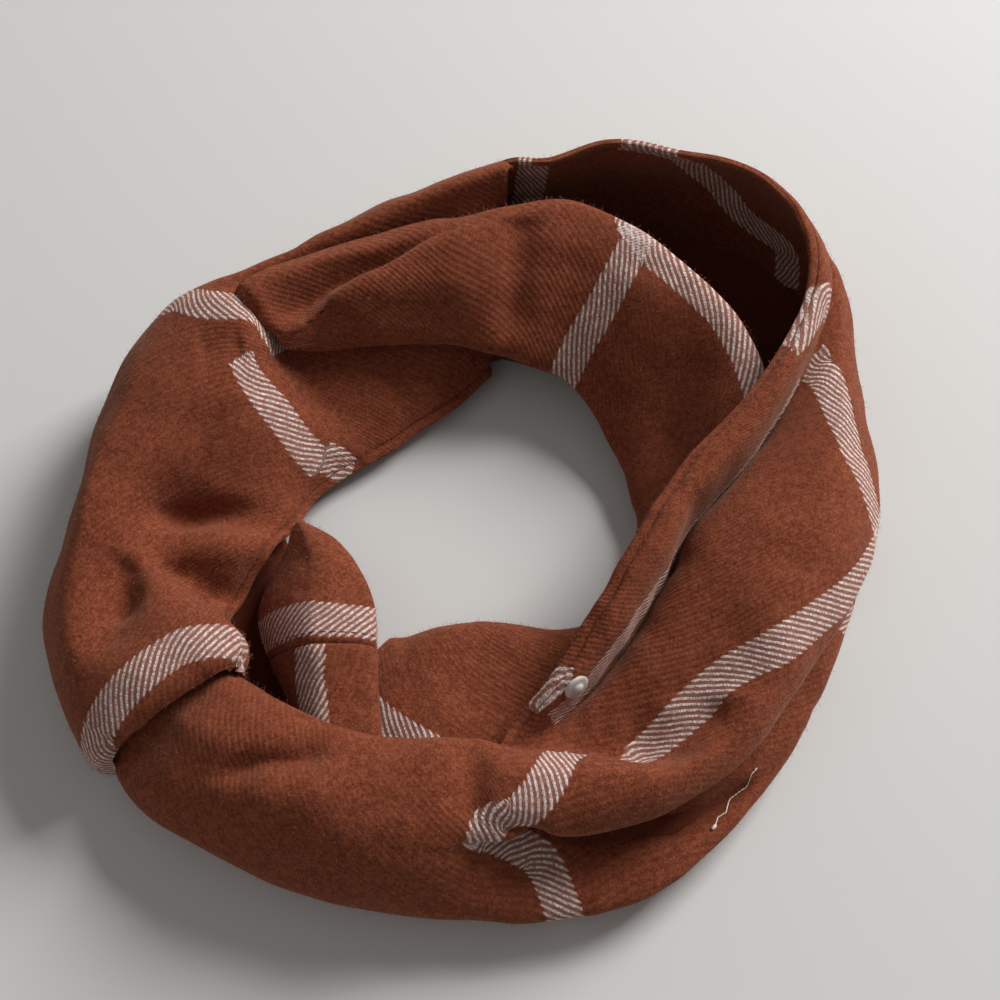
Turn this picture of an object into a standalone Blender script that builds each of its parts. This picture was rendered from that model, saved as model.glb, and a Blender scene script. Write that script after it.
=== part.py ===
"""A small plaid loop scarf laid down doubled, as cloth walls in metres with +Z up.

Each table starts with the names of its columns. A row is a section: a bearing in
degrees anticlockwise from +X, seen from above, then one radius and height in
millimetres for each named line along the cloth.
"""

import bmesh
import bpy
import numpy as np
from mathutils import Vector
from mathutils.bvhtree import BVHTree

MM = 0.001
WALL = 2.0  # cloth wall with its brushed pile
HEM_FOLD = 0.5  # how much thicker a turned hem is
GROUND_REACH = 0.7  # cloth lower than this lies on the ground
SEAM_GAP = 0.4  # clear space between two pieces at a seam
SHARP = 50.0  # degrees; a steeper edge is shaded hard
CENTRE = (1.4, 9.45)  # middle of the laid ring in the plane of the tables

CLOTH = ((0.27, 0.07, 0.035), 0.92)
SNAP = ((0.78, 0.74, 0.68), 0.45)

LEFT = (
    ("bearing", "foot", "belly", "shoulder", "top", "dip", "ridge", "drop", "slope", "low", "rim"),
    (217, (103.5, 0.3), (108.5, 11), (105, 21), (97, 29), (88, 33), (78, 34.5), (69, 33.5),
     (63, 30), (62.5, 25), (65, 20)),
    (208, (103, 0.3), (108.5, 12), (106, 23), (99, 31), (88, 35), (76, 35.5), (68, 33.5), (64, 30),
     (63.5, 25), (65.5, 19)),
    (200, (106, 0.3), (111.5, 13), (108, 24), (101, 30.5), (92, 30), (81, 33.5), (73, 32.5),
     (68, 28), (67, 20), (67.5, 12)),
    (194, (108, 0.3), (112, 13), (108, 24), (100, 30), (89, 27.5), (80, 31), (75, 28), (71.5, 18),
     (66, 12.5), (61, 9)),
    (188, (107, 0.3), (110.5, 13), (105.5, 25), (99, 31.5), (91, 29.5), (83, 28.5), (79, 22),
     (69, 20), (61.5, 17), (56.5, 11)),
    (182, (104, 0.3), (107.5, 13), (102.5, 26), (97, 33.5), (91, 32.5), (85, 28.5), (77, 24.5),
     (66.5, 23.5), (58, 20), (52, 13.5)),
    (175, (103, 0.3), (106.5, 13), (101.5, 27), (96.5, 34.5), (89, 33.5), (82, 26.5), (75, 17.5),
     (65, 16), (55, 14.5), (48.5, 10)),
    (168, (103.5, 0.3), (107, 13), (101.5, 28), (96, 35.5), (88, 36), (79, 32.5), (71, 26),
     (61, 19.5), (52, 14), (46, 8)),
    (160, (105.5, 0.3), (109, 13), (102.5, 28), (97, 36), (88, 38), (77, 36), (68, 30), (59, 22),
     (51, 13.5), (46, 5.5)),
    (150, (107.5, 0.3), (111, 15), (104.5, 30), (98, 37.5), (86, 40), (71, 37.5), (65, 31),
     (57, 23), (49.5, 14), (43.5, 5)),
    (143, (105, 0.3), (109, 16), (104, 32), (98, 39), (85, 42), (72.5, 39.5), (67.5, 31.5),
     (58.5, 23.5), (50, 14.5), (41.5, 5)),
    (138, (101, 0.3), (105, 17), (101.5, 33), (96, 40), (86, 42.5), (75.5, 40.5), (70, 30),
     (60, 22), (50, 14), (40.5, 5)),
    (132, (97, 0.3), (101, 18), (97.5, 33), (92.5, 40), (87, 37.5), (79, 32.5), (72, 24), (61, 18),
     (50, 12.5), (39.5, 5)),
    (122, (95, 0.3), (98.5, 20), (95, 34), (90, 41), (85.5, 35.5), (79, 29.5), (71, 23.5), (60, 18),
     (49, 11.5), (39, 5)),
    (111, (95, 0.3), (99, 21), (95.5, 35), (89.3, 42.5), (85, 35.5), (78, 29.5), (70, 23),
     (59, 17.5), (49, 11.5), (41, 5)),
    (100, (100, 0.3), (103, 22), (98.5, 37), (91.5, 45.2), (87, 37.5), (80, 30.5), (70, 23),
     (60, 17.5), (51, 11.5), (44, 5)),
    (90, (107, 0.3), (109.5, 23), (104, 39), (96, 47.3), (92.5, 38), (84, 28.5), (73, 21.5),
     (63, 15.5), (56.5, 10), (50, 5)),
    (83, (113.5, 0.3), (115.5, 24), (110, 40), (101.5, 48.4), (99.5, 36), (92, 27), (80, 19.5),
     (70, 13.5), (63.5, 9), (58, 5)),
)

RIGHT = (
    ("bearing", "hem", "band", "lip", "valley", "rise", "plain", "pocket", "border", "crest",
     "brow", "roll", "pleat", "ledge", "belly", "foot"),
    (90, (98.5, 40), (99.5, 38.3), (100.5, 36.3), (101.5, 34), (102.3, 31.5), (103, 29),
     (103.5, 26), (104, 23), (104.3, 20), (104.5, 17), (104.5, 14), (104.3, 11), (104, 8),
     (103.5, 5), (102.5, 0.3)),
    (83, (103.8, 42), (105.2, 40.2), (106.3, 38.5), (107, 36), (107.7, 33), (108, 30), (108.3, 27),
     (108.5, 24), (108.5, 21), (108.5, 18), (108.5, 15), (108.5, 12), (108.2, 8), (107.8, 5),
     (106.8, 0.3)),
    (78, (104, 48), (106, 45.5), (107.5, 41), (108.5, 37), (109.5, 34), (110, 30), (110.5, 27),
     (111, 24), (111, 21), (111, 18), (111, 15), (111, 12), (111, 8), (110.5, 5), (109.5, 0.3)),
    (69, (115, 49.5), (117, 46.5), (118.5, 42), (119.5, 38), (120.5, 34.5), (121.5, 31),
     (122.5, 27.5), (123.5, 24), (124, 21), (124.5, 18), (124.5, 15), (124.5, 12), (124, 8),
     (123.5, 5), (122.5, 0.3)),
    (60, (120, 49), (122, 46), (124, 42), (125.5, 38), (127, 34.5), (128, 31), (129, 27.5),
     (130, 24), (130.5, 21), (131, 18), (131, 15), (131, 12), (130.5, 8), (130, 5), (129, 0.3)),
    (50, (125.5, 50), (128, 47), (129.5, 43), (131, 39), (132.5, 35), (133.5, 31), (134.5, 27.5),
     (135, 24), (135.5, 21), (136, 18), (136, 15), (136, 12), (135.5, 8), (135, 5), (134, 0.3)),
    (42, (122.5, 49.5), (125.5, 48), (128, 44), (129.5, 40), (131.5, 37), (133, 33.5), (134.5, 30),
     (135.5, 26), (136, 22.5), (136.5, 19), (136.5, 16), (136.5, 12), (136, 8), (135.5, 5),
     (134.5, 0.3)),
    (34, (111.5, 46.5), (115.5, 47.8), (119.5, 44.5), (121.5, 38), (123.5, 37.5), (125.5, 36),
     (127.5, 32.5), (129, 29), (130, 24), (130.5, 19), (130.5, 16), (130.5, 12), (130, 8),
     (129.5, 5), (128, 0.3)),
    (24, (86, 44.5), (92, 46), (97.5, 43), (100, 34), (104, 33.5), (108.5, 36), (112.5, 35.5),
     (116, 32), (118.5, 27), (119.8, 22), (120, 18), (120, 14), (119.5, 10), (118.5, 6),
     (116.5, 0.3)),
    (12, (59.5, 42.5), (67, 44), (74, 42), (77.5, 31), (83, 31), (91, 36), (99, 37.5), (105, 34.5),
     (109.5, 30), (113, 25), (114.8, 20), (114.8, 16), (114.3, 11), (113, 6), (110.5, 0.3)),
    (2, (50.5, 41.5), (55.5, 43), (60, 41), (62.8, 28), (68, 30), (77, 36), (88, 38.5), (96, 37),
     (102.5, 33), (108, 27), (111.3, 20.5), (110.8, 17), (110.5, 11), (109.3, 6), (106, 0.3)),
    (-12, (44.5, 40), (49, 41.5), (53.3, 39.5), (56.5, 26), (61.5, 28), (70, 34), (80, 37),
     (87.5, 37.5), (94, 35), (99.5, 30), (102, 24.5), (99.3, 19.3), (102, 15.5), (104.5, 10),
     (101.5, 0.3)),
    (-27, (42, 37), (46, 38.5), (50.3, 36.5), (54, 24), (59, 25), (67, 30), (77, 34), (84, 35.5),
     (89, 34), (93.2, 30), (94.8, 25), (88.5, 19.5), (95, 16), (101.5, 11), (98.5, 0.3)),
    (-41, (42, 34), (46, 35.2), (50, 33), (53.5, 22), (58, 22.5), (65, 25), (76, 27), (82, 31.5),
     (87, 32.5), (90.5, 29.5), (91.8, 25), (83, 19), (91, 16), (101.5, 11), (98.5, 0.3)),
    (-52, (44.5, 31), (48, 32), (51.3, 30), (54.5, 20.5), (58, 20.5), (65, 21), (76, 21.5),
     (80, 29.5), (84.5, 33.5), (88, 31), (89.7, 25.5), (80, 19), (89.5, 16.5), (102.5, 11),
     (99.5, 0.3)),
    (-64, (48.5, 28), (51, 29), (53.3, 27.5), (56, 20), (59, 19.8), (63, 20), (66.5, 22), (69, 29),
     (76, 34.5), (83, 32.5), (86.2, 26), (78, 19.5), (87.5, 17), (102.5, 11), (99.5, 0.3)),
    (-76, (54, 23), (55.7, 23.6), (57.3, 23.2), (58.8, 22), (60, 21.7), (61, 22.3), (61.7, 24.2),
     (62, 28), (70, 34.5), (78, 33), (82.5, 27.5), (76, 21.5), (83.5, 19), (100.5, 11.5),
     (97.5, 0.3)),
    (-86, (67, 25), (65.6, 24.8), (64.2, 24.6), (62.8, 24.5), (61.4, 24.5), (60, 24.7), (58, 25.8),
     (57.2, 28.2), (65, 34), (75, 33.5), (82, 28.5), (80, 25), (86, 21), (97.5, 12), (94.5, 0.3)),
    (-98, (70, 25.4), (68.3, 25.1), (66.6, 24.9), (65, 24.8), (63.3, 24.7), (61.6, 24.8),
     (58.8, 25.8), (58, 28.2), (65.5, 32.7), (75, 33), (82, 31), (86, 28), (91, 23), (97, 12),
     (94, 0.3)),
    (-112, (73, 25.4), (71.3, 25.1), (69.6, 24.9), (68, 24.8), (66.3, 24.7), (64.6, 24.8),
     (61.8, 25.8), (61, 28.2), (67.5, 31.7), (75, 33), (82, 32), (88, 28.5), (93, 22), (97, 12),
     (94.5, 0.3)),
    (-128, (76, 25.4), (74.3, 25.1), (72.6, 24.9), (71, 24.8), (69.3, 24.7), (67.6, 24.8),
     (64.8, 25.8), (64, 28.2), (70, 32), (78, 33.5), (86, 31.5), (92, 27.5), (97, 21), (99.8, 12),
     (97.3, 0.3)),
    (-142, (80, 23.4), (78.3, 23.1), (76.6, 22.9), (75, 22.8), (73.3, 22.7), (71.6, 22.9), (69, 24),
     (68.5, 26.3), (75, 29.5), (84, 29.5), (91, 26), (96, 21.5), (100.5, 16), (103, 10),
     (100.5, 0.3)),
    (-154, (84, 18), (82.5, 17.7), (81, 17.6), (79.5, 17.5), (78, 17.6), (76.5, 18), (74.5, 19.2),
     (74.5, 21.7), (80, 25), (86.5, 25), (92, 22.5), (96.5, 18.5), (99.5, 13.5), (101, 9),
     (99, 0.3)),
)

INNER = (
    ("bearing", "back", "ridge", "valley", "roll", "face", "lower", "edge", "tuck"),
    (134, (89, 43), (84.5, 43.6), (78, 39.3), (73.5, 35.5), (72, 34.6), (71.2, 33.7), (70.6, 32.7),
     (71.8, 32.2)),
    (127, (88, 42), (83.5, 43.5), (76, 34.5), (70.5, 37.5), (69, 35), (67.8, 31), (67, 27.5),
     (69.5, 26)),
    (117, (85.8, 41), (81.5, 43.5), (76, 36), (71, 42), (67.3, 38), (64.5, 31.5), (63, 25.5),
     (66, 24)),
    (106, (85.3, 41.5), (80, 43.5), (76.5, 39), (73, 43), (67, 39.5), (62, 32), (59.5, 25),
     (62.5, 22.8)),
    (97, (86.5, 42), (82.5, 44), (79.5, 42.5), (77, 44), (69, 39.5), (62, 31.5), (58, 24.5),
     (61, 22)),
    (89, (89, 38.5), (87, 42.7), (84, 44), (81.5, 44), (72, 39.5), (62.5, 31), (57, 23.5),
     (60, 21)),
    (80, (95, 36), (93.2, 42), (91, 43.7), (88, 43.8), (76, 39), (64, 30.5), (56, 22.5), (59, 20)),
    (71, (100, 34), (98.5, 40), (96.5, 42.3), (94.5, 42.7), (80, 37.5), (65, 28.5), (56.5, 20),
     (59.5, 17.5)),
    (61, (100, 30), (98.5, 37.5), (97, 40.5), (95, 41.2), (80, 36), (67, 26), (58.5, 16.5),
     (61.5, 14)),
    (50, (98, 26), (96.5, 34.5), (95, 38.5), (93, 39.5), (80, 34), (67, 23), (56.5, 12), (59, 9.5)),
    (38, (97.5, 22), (96, 31), (94.7, 36), (92.5, 37.5), (80, 31), (66, 20), (53, 9), (55.5, 6.5)),
    (26, (95, 17), (94, 25.5), (92, 30.5), (88, 32.5), (77, 28), (64, 17.5), (51, 7.5), (53.5, 5)),
    (14, (92, 12), (90, 19), (87, 23.5), (81, 26), (72, 24.5), (61, 16.5), (50, 6.5), (52.5, 4)),
    (2, (88, 11), (84, 16), (79, 19.5), (72, 21.5), (64, 21), (55, 16), (47.5, 7), (49.5, 4)),
    (-12, (82, 11), (78, 15.5), (73, 18.5), (66, 20), (60, 20), (53, 16), (47.5, 8), (49.5, 4.5)),
    (-27, (78, 11), (73, 15), (67, 17.5), (60, 18.7), (53, 18.7), (47, 16), (42.5, 9.5),
     (44.5, 5.5)),
    (-41, (75, 11), (69, 14.5), (62, 16.5), (54, 17.2), (46, 17.2), (39.5, 15), (35.5, 10),
     (37.5, 5.5)),
    (-55, (73, 11), (66, 14), (58, 15.7), (49, 16.3), (38, 17), (30.5, 15), (27, 10), (29, 5.5)),
    (-68, (72, 12), (64, 15), (55, 16.3), (46, 16.6), (34, 17), (26.5, 15), (23, 10), (25, 5.5)),
    (-82, (71, 14), (63, 18), (54, 18.6), (45, 17.8), (33, 17), (25, 15), (21.5, 10), (23.5, 5.5)),
    (-96, (71, 14), (63, 18), (54, 18.6), (45, 17.8), (34, 16.7), (25.5, 15), (22, 10), (24, 5.5)),
    (-108, (71, 11.5), (63, 13.8), (54, 15.3), (45, 15.8), (36, 15.5), (28, 14), (24, 9.5),
     (26, 5)),
    (-118, (71, 9), (63, 11), (54, 12), (46, 12.5), (38, 12.5), (31, 11.5), (27.5, 8), (29.5, 4.5)),
    (-128, (72, 6), (64, 8), (56, 9.5), (48, 10), (40, 10), (34, 9), (31, 6.5), (33, 4)),
)

# The end flap lies across the gap at the left. A row is a section at one Y: the place
# along X and the height of each line, from its outer side over a fold to its free side.
FLAP = (
    ("y", "outer", "rise", "fold", "face", "side", "under"),
    (6.0, (-46, 14.5), (-45.3, 16), (-44.6, 17), (-44, 16.5), (-43.3, 15), (-43.6, 12.5)),
    (0.0, (-47.3, 12), (-45.2, 17), (-41, 21.5), (-38, 21), (-35, 18), (-35.8, 12)),
    (-9.0, (-52.5, 8), (-48, 16), (-38.8, 23.5), (-34, 23), (-27.5, 18.8), (-28, 11)),
    (-18.0, (-54.5, 8), (-49.5, 16), (-38.3, 24), (-32, 23.6), (-23.5, 19.3), (-24, 11)),
    (-30.0, (-51, 9), (-46.5, 16), (-36.8, 23.5), (-31, 23.5), (-22.3, 20), (-22.5, 13)),
    (-43.0, (-44.5, 12), (-41, 17), (-34.5, 21.5), (-29, 21.8), (-21.5, 20), (-21.5, 16.7)),
    (-54.0, (-41, 13), (-38.5, 17.5), (-34, 20.3), (-27.5, 20.6), (-20.5, 19.6), (-20, 17)),
    (-64.0, (-35, 14), (-33.5, 17.5), (-31, 19.5), (-26, 20), (-19, 19.2), (-18.5, 16.8)),
)
SEAM_AT = -31.0  # Y of the seam that closes the loop

LEFT_STEP, RIGHT_STEP, INNER_STEP = 3.2, 5.5, 6.0  # degrees between two stations
FLAP_STEP = 3.5  # mm between two rows of the flap
LEFT_CUTS, CUTS = 3, 2  # parts that the cloth is cut into between two lines

# The hidden layers fill the ring between these radii, by bearing.
CORE = (
    ("bearing", "inner", "outer"),
    (2, 54, 101), (14, 57, 106), (26, 58, 111), (38, 60, 122), (50, 63, 128), (61, 66, 123), (71, 66, 112),
    (83, 67, 101), (90, 60, 97), (100, 49, 95), (118, 44, 90), (134, 44, 92), (150, 48, 102), (164, 51, 99),
    (172, 51, 98), (179, 46, 98), (186, 39, 98), (196, 34, 95), (208, 33, 94), (219, 34, 94), (232, 37, 92),
    (252, 30, 89), (278, 28, 90), (305, 33, 94), (319, 42, 94), (333, 49, 94), (348, 54, 97),
)
CORE_CLEAR = 0.9  # space left between the hidden layers and the cloth over them
CORE_LOW = 4.0  # height of the hidden layers where nothing covers them
CORE_STATIONS = 80
CORE_RINGS = 15
CORE_FINE = 5  # the cloth over the hidden layers is felt at this many places a cell
CORE_SIDE = 1.0  # least height of the ring

SNAP_BEARING = -57.0  # where the stud sits round the ring
SNAP_LINE, SNAP_SHARE = "lip", 0.1  # and across the cloth: past this line, by this share
SNAP_PROFILE = ((0.0, 0.0), (4.2, 0.0), (4.2, 0.9), (3.5, 1.5), (2.0, 1.9), (0.0, 2.0))
SNAP_SIDES = 28
SNAP_GAP = 0.5  # between the stud's flat back and the bowed cloth
NEAR = (0.5, 0.1)  # how far off, in degrees and in lines, the slope of the cloth is felt


def smooth(knots, values, at):
    """Cubic through rows of values at the knots, which never swings past a row."""
    knots = np.asarray(knots, float)
    values = np.asarray(values, float)
    gap = np.diff(knots)
    shape = (-1,) + (1,) * (values.ndim - 1)
    slope = np.diff(values, axis=0) / gap.reshape(shape)
    before, after = slope[:-1], slope[1:]
    wide, near = gap[1:].reshape(shape), gap[:-1].reshape(shape)
    tangent = np.zeros_like(values)
    weighted = (wide * before + near * after) / (wide + near)
    limit = 3.0 * np.minimum(np.abs(before), np.abs(after))
    inside = np.clip(weighted, -limit, limit)
    tangent[1:-1] = np.where(before * after > 0, inside, 0.0)
    tangent[0], tangent[-1] = slope[0], slope[-1]
    at = np.asarray(at, float)
    cell = np.clip(np.searchsorted(knots, at, side="right") - 1, 0, len(gap) - 1)
    t = ((at - knots[cell]) / gap[cell]).reshape(shape)
    width = gap[cell].reshape(shape)
    return (
        (2 * t**3 - 3 * t**2 + 1) * values[cell]
        + (t**3 - 2 * t**2 + t) * width * tangent[cell]
        + (3 * t**2 - 2 * t**3) * values[cell + 1]
        + (t**3 - t**2) * width * tangent[cell + 1]
    )


def across(lines, cuts):
    """Section points from named lines: each gap between two lines is cut into equal parts."""
    index = np.arange(lines.shape[1])
    at = np.concatenate([index[:-1, None] + np.arange(cuts) / cuts]).ravel()
    at = np.append(at, index[-1])
    return np.moveaxis(smooth(index, np.moveaxis(lines, 1, 0), at), 0, 1)


def columns(table):
    """First column of a table, in rising order, and the pairs of its other columns."""
    rows = sorted(table[1:])
    return np.array([row[0] for row in rows], float), np.array([row[1:] for row in rows], float)


def polar_sheet(table, step, cuts):
    """Middle surface of a stretch: stations round the ring by points across the cloth."""
    bearings, lines = columns(table)
    count = int(round((bearings[-1] - bearings[0]) / step)) + 1
    at = np.linspace(bearings[0], bearings[-1], count)
    section = across(smooth(bearings, lines, at), cuts)
    turn = np.radians(at)[:, None]
    radius, height = section[..., 0], section[..., 1]
    return np.stack([radius * np.cos(turn), radius * np.sin(turn), height], -1)


def flap_sheet(first, last, cuts):
    """Middle surface of the flap between two places along Y."""
    places, lines = columns(FLAP)
    count = max(2, int(round((last - first) / FLAP_STEP)) + 1)
    at = np.linspace(first, last, count)
    section = across(smooth(places, lines, at), cuts)
    along = np.broadcast_to(at[:, None], section.shape[:2])
    return np.stack([section[..., 0], along, section[..., 1]], -1)


def normals(grid):
    """Unit normals of a grid of points, from its two directions."""
    one = np.gradient(grid, axis=0)
    two = np.gradient(grid, axis=1)
    found = np.cross(one, two)
    return found / np.maximum(np.linalg.norm(found, axis=-1, keepdims=True), 1e-9)


def wall_faces(rows, cols):
    """Faces of a closed wall: two skins of rows by cols points and the rim between them."""
    index = np.arange(rows * cols).reshape(rows, cols)
    skin = np.stack([index[:-1, :-1], index[1:, :-1], index[1:, 1:], index[:-1, 1:]], -1).reshape(-1, 4)
    ring = np.concatenate([index[0, :-1], index[:-1, -1], index[-1, :0:-1], index[:0:-1, 0]])
    following = np.roll(ring, -1)
    offset = rows * cols
    rim = np.stack([ring, following, following + offset, ring + offset], -1)
    return np.concatenate([skin, skin[:, ::-1] + offset, rim]).tolist()


def signed_volume(mesh):
    made = bmesh.new()
    made.from_mesh(mesh)
    volume = made.calc_volume(signed=True)
    made.free()
    return volume


def add_object(name, points, faces, look):
    """One object from millimetre points, turned so that its faces look outward."""
    mesh = bpy.data.meshes.new(name)
    shift = np.array([CENTRE[0], CENTRE[1], 0.0])
    mesh.from_pydata(((points - shift) * MM).tolist(), [], faces)
    if signed_volume(mesh) < 0:
        mesh.flip_normals()
    mesh.validate()
    made = bpy.data.objects.new(name, mesh)
    bpy.context.scene.collection.objects.link(made)
    material = bpy.data.materials.new(name)
    material.use_nodes = True
    shader = material.node_tree.nodes["Principled BSDF"]
    shader.inputs["Base Color"].default_value = (*look[0], 1.0)
    shader.inputs["Roughness"].default_value = look[1]
    shader.inputs["Metallic"].default_value = 0.0
    mesh.materials.append(material)
    bpy.ops.object.select_all(action="DESELECT")
    made.select_set(True)
    bpy.context.view_layer.objects.active = made
    bpy.ops.object.shade_smooth()
    mesh.set_sharp_from_angle(angle=np.radians(SHARP))
    return made


def add_wall(name, middle, hem=()):
    """A cloth wall about its middle surface, thicker over the columns of its hem."""
    rows, cols = middle.shape[:2]
    thick = np.full((cols, 1), WALL)
    thick[list(hem)] += HEM_FOLD
    away = normals(middle) * thick / 2
    points = np.concatenate([(middle + away).reshape(-1, 3), (middle - away).reshape(-1, 3)])
    points[points[:, 2] < GROUND_REACH, 2] = 0.0
    return add_object(name, points, wall_faces(rows, cols), CLOTH)


def lowest_cloth(walls, places):
    """Height of the first wall above each place on the ground, or NaN under open air."""
    trees = [
        BVHTree.FromPolygons(
            [corner.co for corner in wall.data.vertices],
            [tuple(face.vertices) for face in wall.data.polygons],
        )
        for wall in walls
    ]
    heights = np.full(len(places), np.nan)
    for index, (x, y) in enumerate(places):
        start = Vector(((x - CENTRE[0]) * MM, (y - CENTRE[1]) * MM, -MM))
        hits = [tree.ray_cast(start, Vector((0.0, 0.0, 1.0)))[0] for tree in trees]
        found = [hit.z / MM for hit in hits if hit is not None]
        if found:
            heights[index] = min(found)
    return heights


def least_near(heights, reach):
    """The least height within reach cells, round the ring and across it."""
    stations, rings = heights.shape
    padded = np.pad(heights, ((reach, reach), (0, 0)), mode="wrap")
    padded = np.min([padded[k:k + stations] for k in range(2 * reach + 1)], axis=0)
    padded = np.pad(padded, ((0, 0), (reach, reach)), mode="edge")
    return np.min([padded[:, k:k + rings] for k in range(2 * reach + 1)], axis=0)


def add_core(walls):
    """The hidden layers: one ring with a flat base whose top follows the cloth above it."""
    fine = CORE_FINE
    stations, rings = CORE_STATIONS * fine, CORE_RINGS * fine + 1
    bearing = np.arange(stations) * 360.0 / stations
    known, inner, outer = np.array(CORE[1:], float).T
    inner = np.interp(bearing, known, inner, period=360)[:, None]
    outer = np.interp(bearing, known, outer, period=360)[:, None]
    share = np.linspace(0.0, 1.0, rings)[None, :]
    radius = inner * (1 - share) + outer * share
    turn = np.radians(bearing)[:, None]
    x, y = radius * np.cos(turn), radius * np.sin(turn)
    heights = lowest_cloth(walls, np.stack([x.ravel(), y.ravel()], -1)).reshape(x.shape)
    heights = np.where(np.isnan(heights), CORE_LOW, heights - CORE_CLEAR)
    top = np.maximum(least_near(heights, fine + 1), CORE_SIDE)[::fine, ::fine]
    x, y = x[::fine, ::fine], y[::fine, ::fine]
    upper = np.stack([x, y, top], -1)
    lower = np.stack([x, y, np.zeros_like(x)], -1)[:, [0, -1]]
    rows, cols = top.shape
    index = np.arange(rows * cols).reshape(rows, cols)
    after = np.roll(index, -1, axis=0)
    roof = np.stack([index[:, :-1], after[:, :-1], after[:, 1:], index[:, 1:]], -1).reshape(-1, 4)
    base = np.arange(rows * 2).reshape(rows, 2) + rows * cols
    base_after = np.roll(base, -1, axis=0)
    ground = np.stack([base[:, 1], base_after[:, 1], base_after[:, 0], base[:, 0]], -1)
    inside = np.stack([index[:, 0], base[:, 0], base_after[:, 0], after[:, 0]], -1)
    outside = np.stack([index[:, -1], after[:, -1], base_after[:, 1], base[:, 1]], -1)
    points = np.concatenate([upper.reshape(-1, 3), lower.reshape(-1, 3)])
    faces = np.concatenate([roof, ground, inside, outside]).tolist()
    return add_object("hidden_layers", points, faces, CLOTH)


def point_on(table, bearing, line):
    """Place on a stretch, at one bearing and one line number, and the direction its upper face looks in."""
    near = bearing + NEAR[0] * np.array([-1, 0, 1])
    beside = line + NEAR[1] * np.array([-1, 0, 1])
    bearings, lines = columns(table)
    lines = smooth(bearings, lines, near)
    index = np.arange(lines.shape[1])
    section = np.moveaxis(smooth(index, np.moveaxis(lines, 1, 0), beside), 0, 1)
    turn = np.radians(near)[:, None]
    grid = np.stack([section[..., 0] * np.cos(turn), section[..., 0] * np.sin(turn), section[..., 1]], -1)
    return grid[1, 1], -normals(grid)[1, 1]


def add_snap(place, axis):
    """One turned stud of a snap, set just off the cloth and square to it."""
    across_axis = np.cross(axis, (0.0, 0.0, 1.0))
    across_axis /= np.linalg.norm(across_axis)
    upward = np.cross(across_axis, axis)
    base = place + axis * (WALL / 2 + SNAP_GAP)
    turn = np.arange(SNAP_SIDES) * 2 * np.pi / SNAP_SIDES
    around = np.cos(turn)[:, None] * across_axis + np.sin(turn)[:, None] * upward
    rings = [base + radius * around + rise * axis for radius, rise in SNAP_PROFILE[1:-1]]
    points = np.concatenate([*rings, [base], [base + SNAP_PROFILE[-1][1] * axis]])
    index = np.arange(len(rings) * SNAP_SIDES).reshape(len(rings), SNAP_SIDES)
    after = np.roll(index, -1, axis=1)
    faces = np.stack([index[:-1], after[:-1], after[1:], index[1:]], -1).reshape(-1, 4).tolist()
    bottom, top = len(points) - 2, len(points) - 1
    faces += [[after[0, k], index[0, k], bottom] for k in range(SNAP_SIDES)]
    faces += [[index[-1, k], after[-1, k], top] for k in range(SNAP_SIDES)]
    return add_object("snap_stud", points, faces, SNAP)


def main():
    for old in list(bpy.data.objects):
        bpy.data.objects.remove(old, do_unlink=True)
    low_end, high_end = columns(FLAP)[0][[0, -1]]
    walls = [
        add_wall("left_stretch", polar_sheet(LEFT, LEFT_STEP, LEFT_CUTS), hem=(-2, -1)),
        add_wall("right_stretch", polar_sheet(RIGHT, RIGHT_STEP, CUTS), hem=(0, 1)),
        add_wall("inner_stretch", polar_sheet(INNER, INNER_STEP, CUTS)),
        add_wall("flap_upper", flap_sheet(SEAM_AT + SEAM_GAP / 2, high_end, CUTS)),
        add_wall("flap_lower", flap_sheet(low_end, SEAM_AT - SEAM_GAP / 2, CUTS)),
    ]
    add_core(walls)
    add_snap(*point_on(RIGHT, SNAP_BEARING, RIGHT[0].index(SNAP_LINE) - 1 + SNAP_SHARE))


main()
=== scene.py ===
# Small plaid loop scarf, laid down doubled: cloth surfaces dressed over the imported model.
import math

import bpy
import numpy as np
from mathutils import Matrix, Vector
from mathutils.bvhtree import BVHTree


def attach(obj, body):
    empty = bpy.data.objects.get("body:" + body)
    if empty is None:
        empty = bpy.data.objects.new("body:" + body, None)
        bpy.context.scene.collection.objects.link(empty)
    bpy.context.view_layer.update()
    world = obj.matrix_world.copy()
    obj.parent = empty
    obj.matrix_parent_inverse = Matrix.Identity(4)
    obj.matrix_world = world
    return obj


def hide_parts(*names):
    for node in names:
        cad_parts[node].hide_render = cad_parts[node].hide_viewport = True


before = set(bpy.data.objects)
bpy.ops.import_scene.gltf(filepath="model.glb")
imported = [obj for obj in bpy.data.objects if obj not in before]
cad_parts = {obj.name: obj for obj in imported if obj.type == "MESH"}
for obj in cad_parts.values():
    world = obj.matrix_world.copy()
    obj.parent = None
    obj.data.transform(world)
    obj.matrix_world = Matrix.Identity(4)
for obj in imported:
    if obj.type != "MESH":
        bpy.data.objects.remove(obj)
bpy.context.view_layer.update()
scene = bpy.context.scene
mm = 0.001
ringMiddle = (1.4, 9.45)  # mm, the ring's middle in the tables
floorGap = 0.02  # mm, the lowest that any piece reaches
noStripeNear, noHemNear = 30.0, 99.0  # mm, what the distance to one reads where there is none


class Strand:
    # one socket's value: + - * / on it add Math nodes to its tree
    def __init__(self, dye, socket):
        self.dye, self.socket = dye, socket

    def maths(self, operation, *others):
        return self.dye.node("ShaderNodeMath", {"operation": operation}, self, *others)

    def __add__(self, other):
        return self.maths("ADD", other)

    def __sub__(self, other):
        return self.maths("SUBTRACT", other)

    def __rsub__(self, other):
        return self.dye.node("ShaderNodeMath", {"operation": "SUBTRACT"}, other, self)

    def __mul__(self, other):
        return self.maths("MULTIPLY", other)

    def __truediv__(self, other):
        return self.maths("DIVIDE", other)

    __radd__, __rmul__ = __add__, __mul__


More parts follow.
